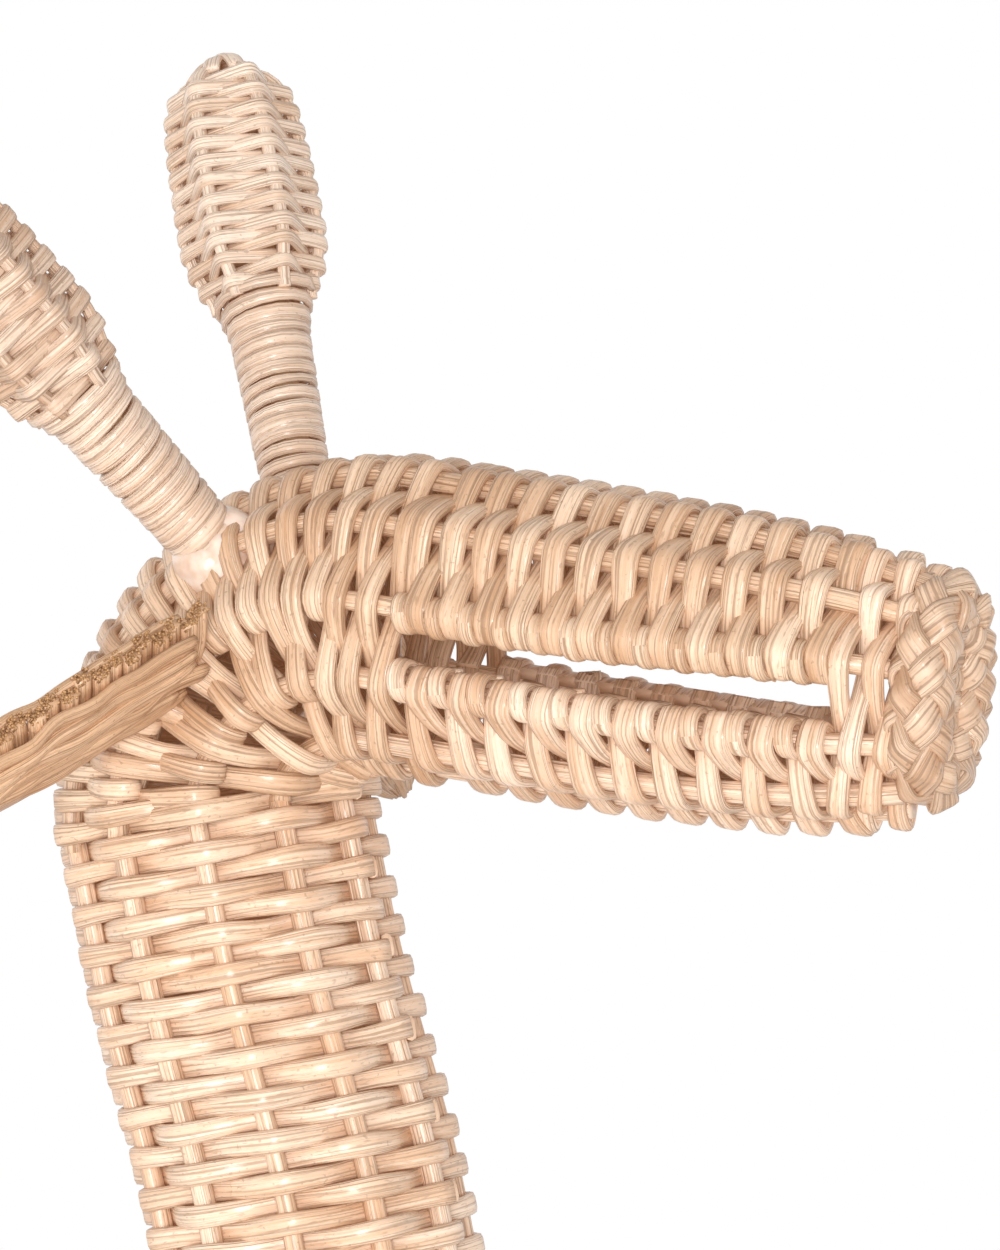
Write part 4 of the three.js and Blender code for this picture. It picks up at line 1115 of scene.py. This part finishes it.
# The legs: a pole under the foot hoop, wound with flat cane. A hoof is woven of strands on seven stakes round
# its foot, and coils of round core close its sole and its top.
LEG_CANE = (0.0042, 0.0046, 0.0016)
LEG_CANE_HALF = 0.0115
HOOF_STAKES = 7
HOOF_HALF = 0.021
HOOF_TOP_HALF = 0.016
HOOF_ROWS = 9
HOOF_HEIGHT = 0.038
HOOF_COIL = 0.0032
HOOF_EDGE = (STRAND_WIDTH / 2 + 0.0004) / HOOF_HEIGHT
SOLE_CLEARANCE = 0.0003


def flat_coil(axes, height, outer, inner, diameter):
    """A strand coiled flat: its radius falls evenly with the turn."""
    turns = (outer - inner) / diameter
    turn = np.linspace(0, 2 * np.pi * turns, int(turns * 20))[None, :]
    points, way = round_bar(*axes, turn, height, outer - diameter * turn / (2 * np.pi))
    return strands(points, way, diameter, diameter, **BARE, sides=8)


def add_leg(name):
    low, high = box_of(f"{name}_binding")
    axes = (low + high) / 2 * (FORWARD + LEFT), UP, FORWARD, LEFT
    ends = [height - LEG_CANE[1] / 2 for height in (low[2], high[2])]
    winding = wound_cane(axes, *ends, lambda share: LEG_CANE_HALF, *LEG_CANE)
    piece_of(f"{name}_cane", [winding], cane, f"{name}_binding")

    def hoof_place(level, turn, out=0.0, ahead=0.0):
        radius = HOOF_HALF + (HOOF_TOP_HALF - HOOF_HALF) * np.sin(level * np.pi / 2) - WALL_INSET + out
        return round_bar(*axes, turn, level * HOOF_HEIGHT + ahead, radius)

    rows = wound_rows(hoof_place, HOOF_EDGE, 1 - HOOF_EDGE, HOOF_ROWS, 0, HOOF_STAKES, 2, WALL_SWING)
    rods = rods_at(hoof_place, np.linspace(0.05, 0.97, 8), even_turns(HOOF_STAKES) + np.pi, WALL_STAKE, 0)
    sole = flat_coil(axes, HOOF_COIL / 2 + SOLE_CLEARANCE, HOOF_HALF - HOOF_COIL, HOOF_COIL, HOOF_COIL)
    shoulder_half = HOOF_TOP_HALF - HOOF_COIL / 2
    shoulder = flat_coil(axes, HOOF_HEIGHT - HOOF_COIL / 2, shoulder_half, LEG_CANE_HALF, HOOF_COIL)
    groups = [rows, rods, sole, shoulder]
    piece_of(f"{name}_hoof_strands", groups, basket_rattan, f"{name}_hoof")


for name in ("fore_leg_left", "fore_leg_right", "hind_leg_left", "hind_leg_right"):
    add_leg(name)

# The poles in the legs and the horns are plain round poles of rattan. They are the CAD's own solids, and take
# the hoops' finish here.
for name, cad_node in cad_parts.items():
    if name.endswith("_pole"):
        cad_node.data.materials.clear()
        cad_node.data.materials.append(pole_rattan[0])

# The tail: a cane that leaves the back wall, hangs down in a bend and is wound with flat cane. Its tuft is a
# bundle of split rattan that has frayed at its lower end.
TAIL_BAR = 0.009
TAIL_PITCH = 0.0032
TAIL_CANE = (0.0034, 0.0013)
TUFT_FIBRES = 90
TUFT_SHARES = ([0, 0.25, 0.7, 1], [0.45, 0.92, 0.80, 0.62])
TUFT_FIBRE = (0.0021, 0.0013)
TIE_ENDS = (0.001, 0.007)
TIE_HALF = 0.0050
TIE_CANE = (0.0022, 0.0024, 0.0012)
tail_low, tail_high = box_of("tail_binding")
tail_x, tail_z = tail_low[0] + TAIL_BAR / 2, tail_high[2] - TAIL_BAR / 2
tail_down = [np.array([tail_x, 0, z]) for z in (tail_z, (tail_z + tail_low[2]) / 2, tail_low[2])]
tail_line = cubic([oval(0.5, tail_z, 2 * HALF_SKIN)[0], *tail_down], 200)
tail_turns = int(np.linalg.norm(np.diff(tail_line, axis=0), axis=1).sum() / TAIL_PITCH)
tail_turn = np.linspace(0, 2 * np.pi * tail_turns, tail_turns * 14)[:, None]
tail_place = tail_turn[:, 0] / tail_turn[-1, 0] * (len(tail_line) - 1)
tail_centre = np.stack([np.interp(tail_place, np.arange(len(tail_line)), row) for row in tail_line.T], axis=1)
tail_along = unit(np.gradient(tail_centre, axis=0))
tail_way = LEFT * np.cos(tail_turn) + np.cross(tail_along, LEFT) * np.sin(tail_turn)
tail_points = tail_centre + tail_way * (TAIL_BAR - TAIL_CANE[1]) / 2
winding = strands(tail_points[None], tail_way[None], *TAIL_CANE, **BARE, sides=6)
core_width = TAIL_BAR - 2 * TAIL_CANE[1]
core = strands(tail_line[None, ::5], LEFT, core_width, core_width, **BARE)
piece_of("tail_cane", [winding, core], cane, "tail_binding")

tuft_low, tuft_high = box_of("tail_tuft")
tuft_size = tuft_high - tuft_low
tuft_axes = (np.array([tail_x, 0, tuft_high[2]]), -UP, FORWARD, LEFT)
tuft_share = np.linspace(0, 1, 7) * seed.uniform(0.86, 1.0, (TUFT_FIBRES, 1))
tuft_out = np.sqrt(seed.uniform(0.1, 1.0, (TUFT_FIBRES, 1))) * np.interp(tuft_share, *TUFT_SHARES)
tuft_out = tuft_out * tuft_size[1] / 2
tuft_turn = seed.uniform(0, 2 * np.pi, (TUFT_FIBRES, 1)) + smoothed(uneven((TUFT_FIBRES, 7), 0.12), 1)
tuft_points, tuft_way = round_bar(*tuft_axes, tuft_turn, tuft_share * tuft_size[2], tuft_out)
fibres = strands(tuft_points, tuft_way, *TUFT_FIBRE, samples=3, passes=2, sides=6)
tie = wound_cane(tuft_axes, *TIE_ENDS, lambda share: TIE_HALF, *TIE_CANE)
piece_of("tail_tuft_fibres", [fibres, tie], ear_rattan, "tail_tuft")
